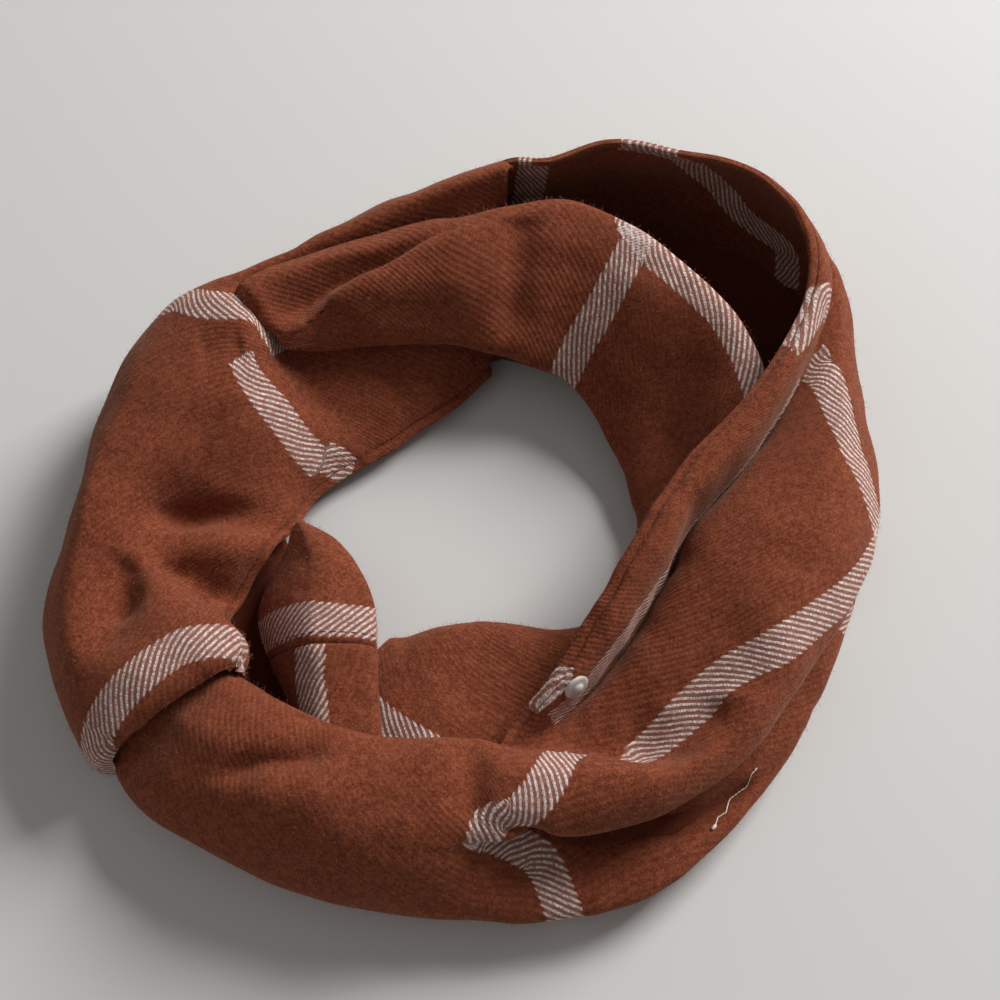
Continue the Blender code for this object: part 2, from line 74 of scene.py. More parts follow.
class Dye:
    # a node tree for one finish
    def __init__(self, name):
        self.material = bpy.data.materials.new(name)
        self.material.use_nodes = True
        self.tree = self.material.node_tree
        self.tree.nodes.clear()

    def node(self, kind, settings=None, *values, out=0, **named):
        # adds a node: its settings first, then values or links by place or by socket name
        made = self.tree.nodes.new(kind)
        for key, value in (settings or {}).items():
            setattr(made, key, value)
        sockets = list(enumerate(values)) + [(key.replace("_", " "), value) for key, value in named.items()]
        for key, value in sockets:
            if isinstance(value, Strand):
                self.tree.links.new(value.socket, made.inputs[key])
            elif value is not None:
                made.inputs[key].default_value = value
        return Strand(self, made.outputs[out])

    def attribute(self, name):
        return self.node("ShaderNodeAttribute", {"attribute_name": name}, out="Fac")

    def mix(self, share, first, second):
        # two colours mixed by a share
        mixed = self.tree.nodes.new("ShaderNodeMix")
        mixed.data_type = "RGBA"
        for key, value in ((0, share), (6, first), (7, second)):
            if isinstance(value, Strand):
                self.tree.links.new(value.socket, mixed.inputs[key])
            else:
                mixed.inputs[key].default_value = value if key == 0 else (*value, 1.0)
        return Strand(self, mixed.outputs[2])

    def step(self, value, low, high):
        # 0 below low, 1 above high, eased between; low above high turns it round
        return self.node("ShaderNodeMapRange", {"interpolation_type": "SMOOTHSTEP"},
                         value, low, high, 0.0, 1.0)

    def noise(self, place, scale, detail=2.0, rough=0.5):
        return self.node("ShaderNodeTexNoise", {"noise_dimensions": "3D"}, Vector=place, Scale=scale,
                         Detail=detail, Roughness=rough)

    def finish(self, **sockets):
        shader = self.node("ShaderNodeBsdfPrincipled", None, out="BSDF", **sockets)
        output = self.tree.nodes.new("ShaderNodeOutputMaterial")
        self.tree.links.new(shader.socket, output.inputs["Surface"])
        return self.material


flannelFinish = {
    "deep": (0.100, 0.020, 0.010),      # ground in its darkest flecks, and the colour of the painted shade in hollows
    "brown": (0.215, 0.050, 0.023),     # ground
    "warm": (0.330, 0.095, 0.044),      # brushed tips
    "pale": (0.93, 0.82, 0.78),         # stripe yarn on top
    "dusty": (0.42, 0.25, 0.21),        # stripe yarn in its own shade
    # hollowShade: how far the painted shade in creases, along the hem's stitch line and on the under cloth
    # darkens the ground
    "paleShare": 0.97, "dustyShare": 0.34, "brownShare": 0.24, "hollowShade": 0.8,
    "stripe": 4.4, "stripeBlur": 0.25,  # half a stripe and half the blur of its edge, mm
    "twill": 1.42, "bead": 1.1,         # mm from one diagonal line, and one bead in it, to the next
    "nap": 0.30,                        # height of the brushed nap, mm
    "wander": 0.9, "fray": 1.1,         # how far lines swerve and stripe edges fray, mm
    "sheenTint": (1.0, 0.62, 0.45, 1.0),
    # a noise's scale, detail and roughness
    "noises": {"swerve": (90.0, 3.0), "fray": (1100.0, 2.0), "fuzz": (1700.0, 3.0, 0.7),
               "fleck": (560.0, 3.0, 0.65), "blotch": (38.0, 4.0, 0.6), "worn": (26.0, 2.0)},
}


def flannel(name, lean=1.0):
    # plaid: a stripe is pale on its diagonal lines, and pale all over where two cross; the
    # ground shows the same twill faintly under a brushed nap of noise in three sizes
    f, dye = flannelFinish, Dye(name)
    place = dye.node("ShaderNodeTexCoord", None, out="Object")
    across, along = dye.attribute("acrossThread"), dye.attribute("alongThread")
    swerve, fray, fuzz, fleck, blotch, thin = (dye.noise(place, *sizes) for sizes in f["noises"].values())
    wander, fray = (swerve - 0.5) * f["wander"], fray - 0.5

    def wave(run, pitch):
        # a triangle wave, 0 to 1 and back in one pitch
        return ((run / pitch).maths("FRACT") - 0.5).maths("ABSOLUTE") * 2.0

    bands, pales = [], []
    for gap, run in (("lengthStripe", "lengthTwill"), ("crossStripe", "crossTwill")):
        line = wave(dye.attribute(run) + wander * 0.5, f["twill"])
        edge = dye.attribute(gap) + fray * f["fray"] + (line - 0.5) * -0.5
        band = dye.step(edge, f["stripe"] + f["stripeBlur"], f["stripe"] - f["stripeBlur"])
        bands.append(band)
        pales.append(band * dye.step(line + fray * 0.36, 0.36, 0.76))
    beads = dye.step(wave(along - across * lean, f["bead"]) + fray * 0.6, 0.15, 0.75)
    pale = pales[0].maths("MAXIMUM", pales[1]) * (0.72 + beads * 0.28)
    pale = pale.maths("MAXIMUM", bands[0] * bands[1] * beads * 0.7)
    inStripe = bands[0].maths("MAXIMUM", bands[1])

    diagonal = wave(along + across * lean + wander, f["twill"] * math.sqrt(2))
    worn = dye.step(thin, 0.38, 0.62)  # where the nap is thin and the twill shows
    grain = dye.step(fuzz * 0.68 + fleck * 0.40 + blotch * 0.18, 0.47, 0.80)
    ground = dye.mix(f["brownShare"], dye.mix(grain, f["deep"], f["warm"]), f["brown"])
    # the ground darkens along the twill and in blotches, and is darkened by painted shade in crease troughs,
    # along the hem's stitch line and over the under cloth
    for shade in (dye.step(diagonal + fleck * 0.5, 0.95, 0.25) * (0.10 + worn * 0.20),
                  dye.step(blotch, 0.42, 0.66) * 0.22, dye.attribute("paintedShade") * f["hollowShade"]):
        ground = dye.mix(shade, ground, f["deep"])
    ground = dye.mix(inStripe * f["dustyShare"], ground, f["dusty"])
    yarn = dye.mix(dye.step(fuzz + fray * 0.5, 0.30, 0.70), f["dusty"], f["pale"])

    ridges = dye.step(diagonal, 0.1, 0.9) * (0.07 + worn * 0.22)
    bump = dye.node("ShaderNodeBump", None, Strength=0.85, Distance=f["nap"] * mm,
                    Height=fuzz * 0.55 + fleck * 0.62 + ridges + pale * 0.42, out="Normal")
    return dye.finish(Base_Color=dye.mix(pale * f["paleShare"], ground, yarn),
                      Roughness=dye.step(fleck, 0.0, 1.0) * 0.12 + 0.86, Normal=bump, Sheen_Weight=0.16,
                      Sheen_Roughness=0.5, Sheen_Tint=f["sheenTint"], Specular_IOR_Level=0.08)


def unit(vectors):
    # vectors scaled to a length of one
    return vectors / np.maximum(np.linalg.norm(vectors, axis=-1, keepdims=True), 1e-9)


def runDown(points):
    # running length from 0 down the first direction of a path or a grid of points
    steps = np.linalg.norm(np.diff(points, axis=0), axis=-1)
    return np.concatenate([np.zeros_like(steps[:1]), np.cumsum(steps, axis=0)])


def runAcross(grid):
    # the same across its second direction
    return runDown(grid.swapaxes(0, 1)).T


def curveThrough(knots, values, at):
    # cubic through rows of values at the knots; its slope is held to three times the flatter
    # neighbour and is level at a peak, so it never swings past a row
    knots, values, at = np.asarray(knots, float), np.asarray(values, float), np.asarray(at, float)
    gap = np.diff(knots)
    shape = (-1,) + (1,) * (values.ndim - 1)
    slope = np.diff(values, axis=0) / gap.reshape(shape)
    before, after = slope[:-1], slope[1:]
    wide, near = gap[1:].reshape(shape), gap[:-1].reshape(shape)
    limit = 3.0 * np.minimum(np.abs(before), np.abs(after))
    inside = np.clip((wide * before + near * after) / (wide + near), -limit, limit)
    tangent = np.concatenate([slope[:1], np.where(before * after > 0, inside, 0.0), slope[-1:]])
    cell = np.clip(np.searchsorted(knots, at, side="right") - 1, 0, len(gap) - 1)
    t, width = ((at - knots[cell]) / gap[cell]).reshape(shape), gap[cell].reshape(shape)
    return ((2 * t**3 - 3 * t**2 + 1) * values[cell] + (t**3 - 2 * t**2 + t) * width * tangent[cell]
            + (3 * t**2 - 2 * t**3) * values[cell + 1] + (t**3 - t**2) * width * tangent[cell + 1])


def sectionsOf(lay):
    # the bearings of a cloth's rows in rising order, and their points as one table
    rows = sorted(lay["rows"])
    return np.array([row[0] for row in rows], float), np.array([row[1:] for row in rows], float)


def sheetPoints(lay, stations, lines):
    # a station's section is a curve through its lines' points; polar tables turn it to its
    # bearing about the ring, and the flap's are set at their place along Y
    known, table = sectionsOf(lay)
    section = curveThrough(known, table, stations)
    index = np.arange(table.shape[1])
    section = np.moveaxis(curveThrough(index, np.moveaxis(section, 1, 0), lines), 0, 1)
    first, height = section[..., 0], section[..., 1]
    if lay["polar"]:
        turn = np.radians(stations)[:, None]
        return np.stack([first * np.cos(turn), first * np.sin(turn), height], -1)
    return np.stack([first, np.broadcast_to(np.asarray(stations)[:, None], first.shape), height], -1)


def sheetNormals(grid):
    # cross product of the two grid directions, scaled to one
    return unit(np.cross(np.gradient(grid, axis=0), np.gradient(grid, axis=1)))


def relax(grid, rounds):
    # each inner point moves half way to the mean of its four neighbours
    for _ in range(rounds):
        mean = (grid[:-2, 1:-1] + grid[2:, 1:-1] + grid[1:-1, :-2] + grid[1:-1, 2:]) / 4
        grid = grid.copy()
        grid[1:-1, 1:-1] += 0.5 * (mean - grid[1:-1, 1:-1])
    return grid


def spacedLines(lay):
    # line numbers at even distances across the cloth, closer together over a hem's turn
    known, table = sectionsOf(lay)
    fine = np.linspace(0, table.shape[1] - 1, 400)
    points = sheetPoints(lay, np.linspace(known[0], known[-1], 40), fine)
    run = runAcross(points).mean(0)
    place = np.linspace(0, run[-1], lay["columns"])
    for edge, inward in ((0.0, 1), (run[-1], -1)):
        if lay["hem"] == inward:
            dense = edge + inward * np.array(hemShape["columns"])
            place = np.concatenate([place[np.abs(place - edge) > hemShape["columns"][-1] + 0.5], dense])
    return np.interp(np.sort(place), run, fine)


def smoothStep(low, high, value):
    # 0 at low and 1 at high, eased between them by 3 t^2 - 2 t^3
    t = np.clip((value - low) / (high - low), 0.0, 1.0)
    return t * t * (3 - 2 * t)


def cellsAt(stations, lines, bearings, columns):
    # the grid cell that each place falls in, and its shares down and over that cell
    row = np.interp(bearings, stations, np.arange(len(stations)))
    col = np.interp(columns, lines, np.arange(len(lines)))
    r = np.clip(row.astype(int), 0, len(stations) - 2)
    c = np.clip(col.astype(int), 0, len(lines) - 2)
    return r, c, (row - r)[:, None], (col - c)[:, None]


def blended(field, cells):
    # a field's values weighted between each cell's four corners
    r, c, down, over = cells
    return ((field[r, c] * (1 - down) + field[r + 1, c] * down) * (1 - over)
            + (field[r, c + 1] * (1 - down) + field[r + 1, c + 1] * down) * over)


stepsPerPoint = 26  # of a path, from one of its points to the next


def pathOnSheet(grid, stations, lines, path):
    # a path's (bearing, line) points joined by a curve, and where each step lies on the grid
    last = len(path) - 1
    way = curveThrough(np.arange(last + 1), path, np.linspace(0, last, stepsPerPoint * last + 1))
    return way, blended(grid, cellsAt(stations, lines, way[:, 0], way[:, 1]))


def nearestOnPath(grid, stations, lines, way, spots, reach):
    # for grid points near the path, the step that lies nearest, looked for only among steps
    # close by on the sheet, so that a path never shows through on the next fold
    rows, cols = np.nonzero((stations[:, None] > way[:, 0].min() - reach[0])
                            & (stations[:, None] < way[:, 0].max() + reach[0])
                            & (lines[None, :] > way[:, 1].min() - reach[1])
                            & (lines[None, :] < way[:, 1].max() + reach[1]))
    points = grid[rows, cols]
    square = (points**2).sum(1)[:, None] + (spots**2).sum(1)[None] - 2 * points @ spots.T
    tooFar = 1e6
    square[np.abs(stations[rows][:, None] - way[None, :, 0]) > reach[0]] = tooFar
    square[np.abs(lines[cols][:, None] - way[None, :, 1]) > reach[1]] = tooFar
    near = square.argmin(1)
    close = square[np.arange(len(near)), near] < tooFar / 10
    return rows[close], cols[close], near[close]


creaseReach, stripeReach = (14.0, 2.6), (11.0, 2.4)  # degrees and lines from a path that it is felt


def creased(grid, side, stations, lines, creases):
    # every crease is a soft trough (depth below 0) or ridge: depth times exp(-(gap/width)^2),
    # gap being the way to its own path over the cloth, faded out at both its ends; the second
    # result is how deep a place lies, 0 to 1, which is painted as shade in the cloth's colour
    away = sheetNormals(grid) * side
    lift = np.zeros(grid.shape[:2])
    for width, depth, path in creases:
        way, spots = pathOnSheet(grid, stations, lines, path)
        rows, cols, near = nearestOnPath(grid, stations, lines, way, spots, creaseReach)
        gap = np.linalg.norm(grid[rows, cols] - spots[near], axis=-1)
        share = near / (len(spots) - 1)
        fade = smoothStep(0.0, 0.25, share) * smoothStep(1.0, 0.75, share)
        lift[rows, cols] += depth * np.exp(-(gap / width) ** 2) * (0.15 + 0.85 * fade)
    return grid + away * lift[..., None], np.clip(-lift / 5.0 - 0.35, 0, 0.6)


def rippled(grid, side, along, across, seed, height):
    # soft unevenness: a sum of seeded sine waves over the cloth, weighted by a slow wave
    draw = np.random.default_rng(seed)
    away = sheetNormals(grid) * side
    total = np.zeros(grid.shape[:2])
    for length in (9.0, 12.0, 15.0, 19.0, 26.0, 34.0):
        for _ in range(3):
            angle, phase, slow = (draw.uniform(*span) for span in ((-0.9, 0.9), (0, 6.28), (0, 6.28)))
            run = along * math.cos(angle + 0.9) + across * math.sin(angle + 0.9)
            mask = 0.5 + 0.5 * np.sin((along + 0.7 * across) / (length * 2.6) + slow)
            total += np.sin(run * 2 * math.pi / length + phase) * mask * length / 26.0
    return grid + away * (total * height / 3.0)[..., None]


def stripeFields(grid, side, stations, lines, stripes):
    # distance in mm from the nearest stripe's middle, and the run across its twill lines,
    # which stand at the stripe's own angle: side way * cos(angle) - way along * sin(angle)
    away = sheetNormals(grid) * side
    gap, run = np.full(grid.shape[:2], noStripeNear), np.zeros(grid.shape[:2])
    for angle, path, *limits in stripes:
        lowest, highest = limits[0] if limits else (-1.0, 99.0)
        way, spots = pathOnSheet(grid, stations, lines, path)
        rows, cols, near = nearestOnPath(grid, stations, lines, way, spots, stripeReach)
        kept = (lines[cols] >= lowest) & (lines[cols] <= highest)
        rows, cols, near = rows[kept], cols[kept], near[kept]
        course = unit(np.gradient(spots, axis=0))
        offset = grid[rows, cols] - spots[near]
        distance = np.linalg.norm(offset, axis=-1)
        turn = np.sign((np.cross(course[near], offset) * away[rows, cols]).sum(-1))
        ahead = (offset * course[near]).sum(-1)
        lean = math.radians(angle)
        twill = turn * distance * math.cos(lean) - (runDown(spots)[near] + ahead) * math.sin(lean)
        past = ((near == 0) & (ahead < -0.2)) | ((near == len(spots) - 1) & (ahead > 0.2))
        nearer = (distance < gap[rows, cols]) & ~past
        gap[rows[nearer], cols[nearer]] = distance[nearer]
        run[rows[nearer], cols[nearer]] = twill[nearer]
    return gap, run


def rolledEnds(grid, side, along, rolls):
    # the cloth's two ends turned down round a quarter circle: radius less the root of
    # (radius^2 - (radius - distance)^2) within one radius of the end
    away = sheetNormals(grid) * side
    drop = np.zeros(grid.shape[:2])
    for radius, distance in zip(rolls, (along, along[-1:] - along)):
        if np.max(radius):
            inside = np.clip(1 - distance / radius, 0.0, 1.0)
            drop += radius * (1 - np.sqrt(1 - inside**2))
    return grid - away * drop[..., None]


def rowPoints(points):
    # the tables' millimetres made the row's metres, and nothing below the floor
    points = points.reshape(-1, 3) - np.array([*ringMiddle, 0.0])
    points[:, 2] = np.maximum(points[:, 2], floorGap)
    return points * mm


def keepLayers(made, layers):
    # numbers kept at a shell's points for its finish, the same on both its faces
    for key, values in layers.items():
        kept = made.data.attributes.new(key, "FLOAT", "POINT")
        kept.data.foreach_set("value", np.tile(values.ravel(), 2).astype(np.float32))


def shellMesh(name, grid, side, thick, layers, finish):
    # a closed thin shell: the middle surface moved out and in by half its thickness, with a
    # rim of quads round its edge
    rows, cols = grid.shape[:2]
    away = sheetNormals(grid) * side * thick[..., None] / 2
    points = rowPoints(np.concatenate([grid + away, grid - away]))
    index = np.arange(rows * cols).reshape(rows, cols)
    skin = np.stack([index[:-1, :-1], index[1:, :-1], index[1:, 1:], index[:-1, 1:]], -1)
    skin = skin.reshape(-1, 4)
    ring = np.concatenate([index[0, :-1], index[:-1, -1], index[-1, :0:-1], index[:0:-1, 0]])
    after = np.roll(ring, -1)
    offset = rows * cols
    rim = np.stack([ring, after, after + offset, ring + offset], -1)
    if side > 0:
        faces = np.concatenate([skin, skin[:, ::-1] + offset, rim[:, ::-1]])
    else:
        faces = np.concatenate([skin[:, ::-1], skin + offset, rim])
    made = meshObject(name, points, faces, finish)
    keepLayers(made, layers)
    return made


def meshObject(name, points, faces, finish):
    # points and faces as a smooth object in the scene, with its finish
    mesh = bpy.data.meshes.new(name)
    mesh.from_pydata(points.tolist(), [], faces if isinstance(faces, list) else faces.tolist())
    mesh.polygons.foreach_set("use_smooth", np.ones(len(mesh.polygons), bool))
    mesh.materials.append(finish)
    made = bpy.data.objects.new(name, mesh)
    scene.collection.objects.link(made)
    return made


def spacedStations(lay):
    # even bearings as far as the cloth is laid, closer together where an end is rolled
    known, _ = sectionsOf(lay)
    first, last = known[0], lay.get("until", known[-1])
    parts = [np.linspace(first, last, lay["stations"])]
    for edge, inward, radius in ((first, 1, lay["rolls"][0]), (last, -1, lay["rolls"][1])):
        if radius:
            reach = radius * 1.6 / (1.5 if lay["polar"] else 1.0)
            parts = [part[np.abs(part - edge) > reach] for part in parts]
            parts.append(edge + inward * reach * np.linspace(0, 1, 12) ** 1.6)
    return np.sort(np.concatenate(parts))


def layCloth(name, lay, finish):
    # builds one stretch of cloth and returns its object and what its trims are laid on
    stations = spacedStations(lay)
    lines = spacedLines(lay)
    side = lay["side"]
    grid = relax(sheetPoints(lay, stations, lines), lay["soften"])
    along, across = runDown(grid), runAcross(grid)
    evenAlong = np.broadcast_to(along.mean(1)[:, None], along.shape)
    shape, paintedShade = creased(grid, side, stations, lines, lay["creases"])
    shape = rippled(shape, side, evenAlong, across, lay["seed"], lay["ripple"])
    # the last roll is wider toward both the ground and the hole
    wider = (1 + lay.get("openEnd", 0.0) * smoothStep(5.8, 7.4, lines)
             + lay.get("footEnd", 0.0) * smoothStep(2.6, 1.0, lines))
    shape = rolledEnds(shape, side, along, (lay["rolls"][0], lay["rolls"][1] * wider))
    none = np.full(across.shape, noHemNear)
    fromHem = {1: across, -1: across[:, -1:] - across, 0: none}[lay["hem"]]
    hem = hemShape
    drawn = np.exp(-((fromHem - hem["stitchLine"]) / hem["drawnWide"]) ** 2)
    shape = shape - sheetNormals(shape) * side * (drawn * hem["drawn"])[..., None]
    thick = np.full(across.shape, lay["thick"])
    thick += hem["fold"] * (1 - smoothStep(hem["width"], hem["width"] + hem["slope"], fromHem))
    thick -= hem["groove"] * np.exp(-((fromHem - hem["stitchLine"]) / hem["grooveWide"]) ** 2)
    thick *= np.sqrt(np.clip(1 - (1 - np.clip(fromHem / hem["roundEdge"], 0, 1)) ** 2, 0.02, 1))
    # the hem's drawn-in stitch line and the crease troughs are kept as painted shade for the finish
    layers = {"alongThread": evenAlong, "acrossThread": across, "paintedShade": np.clip(drawn * 0.8 + paintedShade, 0, 1)}
    for way in ("length", "cross"):
        gap, run = stripeFields(grid, side, stations, lines, lay[way + "Stripes"])
        layers[way + "Stripe"], layers[way + "Twill"] = gap, run
    made = shellMesh(name, shape, side, thick, layers, finish)
    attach(made, "root")
    print(name, "laid", len(made.data.polygons), "faces")
    return {"piece": made, "grid": shape, "side": side, "thick": thick, "stations": stations, "lines": lines,
            "fromHem": fromHem}


hemShape = {"width": 3.6, "fold": 1.05, "stitchLine": 3.2, "groove": 0.9, "grooveWide": 0.5,
            "drawn": 0.55, "drawnWide": 0.75, "slope": 0.8, "roundEdge": 0.9,
            "columns": (0.0, 0.12, 0.3, 0.6, 1.0, 1.5, 2.1, 2.6, 2.9, 3.2, 3.5, 3.8, 4.2)}  # mm

leftLay = {
    # a row: bearing in degrees, then the radius and height in mm of
    # foot, belly, shoulder, top, dip, ridge, drop, slope, low, rim
    "rows": (
        (217, (106, 0.3), (111, 11), (107, 21), (97, 29), (88, 33), (78, 34.5), (69, 33.5),
         (63, 30), (62.5, 25), (65, 20)),
        (208, (105.5, 0.3), (111, 12), (108, 23), (99, 31), (88, 35), (76, 35.5), (68, 33.5), (64, 30),
         (63.5, 25), (65.5, 19)),
        (200, (106, 0.3), (111.5, 13), (108, 24), (101, 30.5), (92, 30), (81, 33.5), (73, 32.5),
         (68, 28), (67, 20), (67.5, 12)),
        (194, (108, 0.3), (112, 13), (108, 24), (100, 30), (89, 27.5), (80, 31), (75, 28), (71.5, 18),
         (66, 12.5), (61, 9)),
        (188, (107, 0.3), (110.5, 13), (105.5, 25), (99, 31.5), (91, 29.5), (83, 28.5), (79, 22),
         (69, 20), (61.5, 17), (56.5, 11)),
        (182, (104, 0.3), (107.5, 13), (102.5, 26), (97, 33.5), (91, 32.5), (85, 28.5), (77, 24.5),
         (66.5, 23.5), (58, 20), (52, 13.5)),
        (175, (103, 0.3), (106.5, 13), (101.5, 27), (96.5, 34.5), (89, 33.5), (82, 26.5), (75, 17.5),
         (65, 16), (55, 14.5), (48.5, 10)),
        (168, (103.5, 0.3), (107, 13), (101.5, 28), (96, 35.5), (88, 36), (79, 32.5), (71, 26),
         (61, 19.5), (52, 14), (46, 8)),
        (160, (105.5, 0.3), (109, 13), (102.5, 28), (97, 36), (88, 38), (77, 36), (68, 30), (59, 22),
         (51, 13.5), (46, 5.5)),
        (150, (107.5, 0.3), (111, 15), (104.5, 30), (98, 37.5), (86, 40), (71, 37.5), (65, 31),
         (57, 23), (49.5, 14), (43.5, 5)),
        (143, (105, 0.3), (109, 16), (104, 32), (98, 39), (85, 42), (72.5, 39.5), (67.5, 31.5),
         (58.5, 23.5), (50, 14.5), (41.5, 5)),
        (138, (101, 0.3), (105, 17), (101.5, 33), (96, 40), (86, 42.5), (75.5, 40.5), (70, 30),
         (60, 22), (50, 14), (40.5, 5)),
        (132, (97, 0.3), (101, 18), (97.5, 33), (92.5, 40), (87, 37.5), (79, 32.5), (72, 24), (61, 18),
         (50, 12.5), (39.5, 5)),
        (122, (95, 0.3), (98.5, 20), (95, 34), (90, 41), (85.5, 35.5), (79, 29.5), (71, 23.5), (60, 18),
         (49, 11.5), (39, 5)),
        (111, (95, 0.3), (99, 21), (95.5, 35), (89.3, 42.5), (85, 35.5), (78, 29.5), (70, 23),
         (59, 17.5), (49, 11.5), (41, 5)),
        (100, (100, 0.3), (103, 22), (98.5, 37), (91.5, 45.2), (87, 37.5), (80, 30.5), (70, 23),
         (60, 17.5), (51, 11.5), (44, 5)),
        (90, (107, 0.3), (109.5, 23), (104, 39), (96, 47.3), (92.5, 38), (84, 28.5), (73, 21.5),
         (63, 15.5), (56.5, 10), (50, 5)),
        (83, (112.5, 0.3), (114, 24), (109.5, 38.5), (102, 47), (99.5, 36), (92, 27), (80, 19.5),
         (70, 13.5), (63.5, 9), (58, 5)),
    ),
    "polar": True, "side": 1, "hem": -1, "stations": 230, "columns": 118, "soften": 6, "thick": 1.15,
    "seed": 3, "ripple": 0.30, "rolls": (2.0, 2.6), "openEnd": 1.3, "footEnd": 0.9, "until": 214.6,
    # a stripe: its twill lines' angle to it in degrees, then (bearing, line) along its middle,
    # and where a fold hides its side, the lowest and highest line it colours
    "lengthStripes": (),
    "crossStripes": (
        (-40, ((149, -0.5), (147, 1.0), (143, 2.2), (141, 2.8), (140, 3.5), (137, 4.1), (134.5, 4.6),
               (134, 5.0),
               (134, 5.4), (135, 5.8))),
        (35, ((143, 4.9), (144.5, 5.3), (145.5, 5.9), (146, 6.4), (147, 7.0), (148, 7.7), (148, 8.3))),
        (35, ((145, 8.2), (143.5, 8.5), (142, 8.8), (141, 9.2))),
        (40, ((215, -0.5), (213.5, 1.5), (210.5, 3.0), (209, 4.0), (208, 4.8), (209, 5.5), (211, 6.5),
              (214, 7.6))),
    ),
    # creases: width and depth in mm, then (bearing, line) along them
    "creases": (
        (5.0, -1.5, ((150, 5.6), (145, 5.4), (139, 5.3), (134, 5.2))),
        (6.0, -1.6, ((149, 4.1), (145, 4.5), (141, 5.0))),
        (5.0, -1.0, ((128, 6.0), (127, 6.4), (125, 7.0))),
        (5.0, -1.0, ((137, 6.6), (136, 7.1), (134, 7.9))),
        (7.0, -1.2, ((166, 5.4), (165, 6.2), (164, 7.0))),
        (3.2, -2.4, ((177, 4.9), (176, 5.8), (174, 6.5), (170, 7.6))),
        (5.0, 1.2, ((186, 5.2), (185, 6.2), (184, 7.4), (184, 8.4))),
        (4.0, -1.4, ((188, 6.0), (190, 6.8), (193, 8.1))),
        (4.6, -2.6, ((186, 4.9), (192, 4.2), (199, 3.9))),
        (5.0, 1.0, ((182, 4.6), (190, 5.5), (196, 7.0))),
        (6.0, -1.1, ((216, 2.6), (214, 3.6), (215, 4.6), (216, 5.6))),
        (7.0, -0.9, ((158, 2.2), (161, 3.2), (160, 4.4))),
        (6.0, -0.9, ((118, 0.8), (121, 2.0), (120, 3.0))),
        (7.0, -1.0, ((172, 0.8), (170, 1.8), (172, 2.8))),
        (7.0, 0.9, ((100, 0.8), (104, 1.8), (102, 2.8))),
        (5.0, -0.8, ((110, 6.0), (112, 7.2), (110, 8.4))),
    ),
}

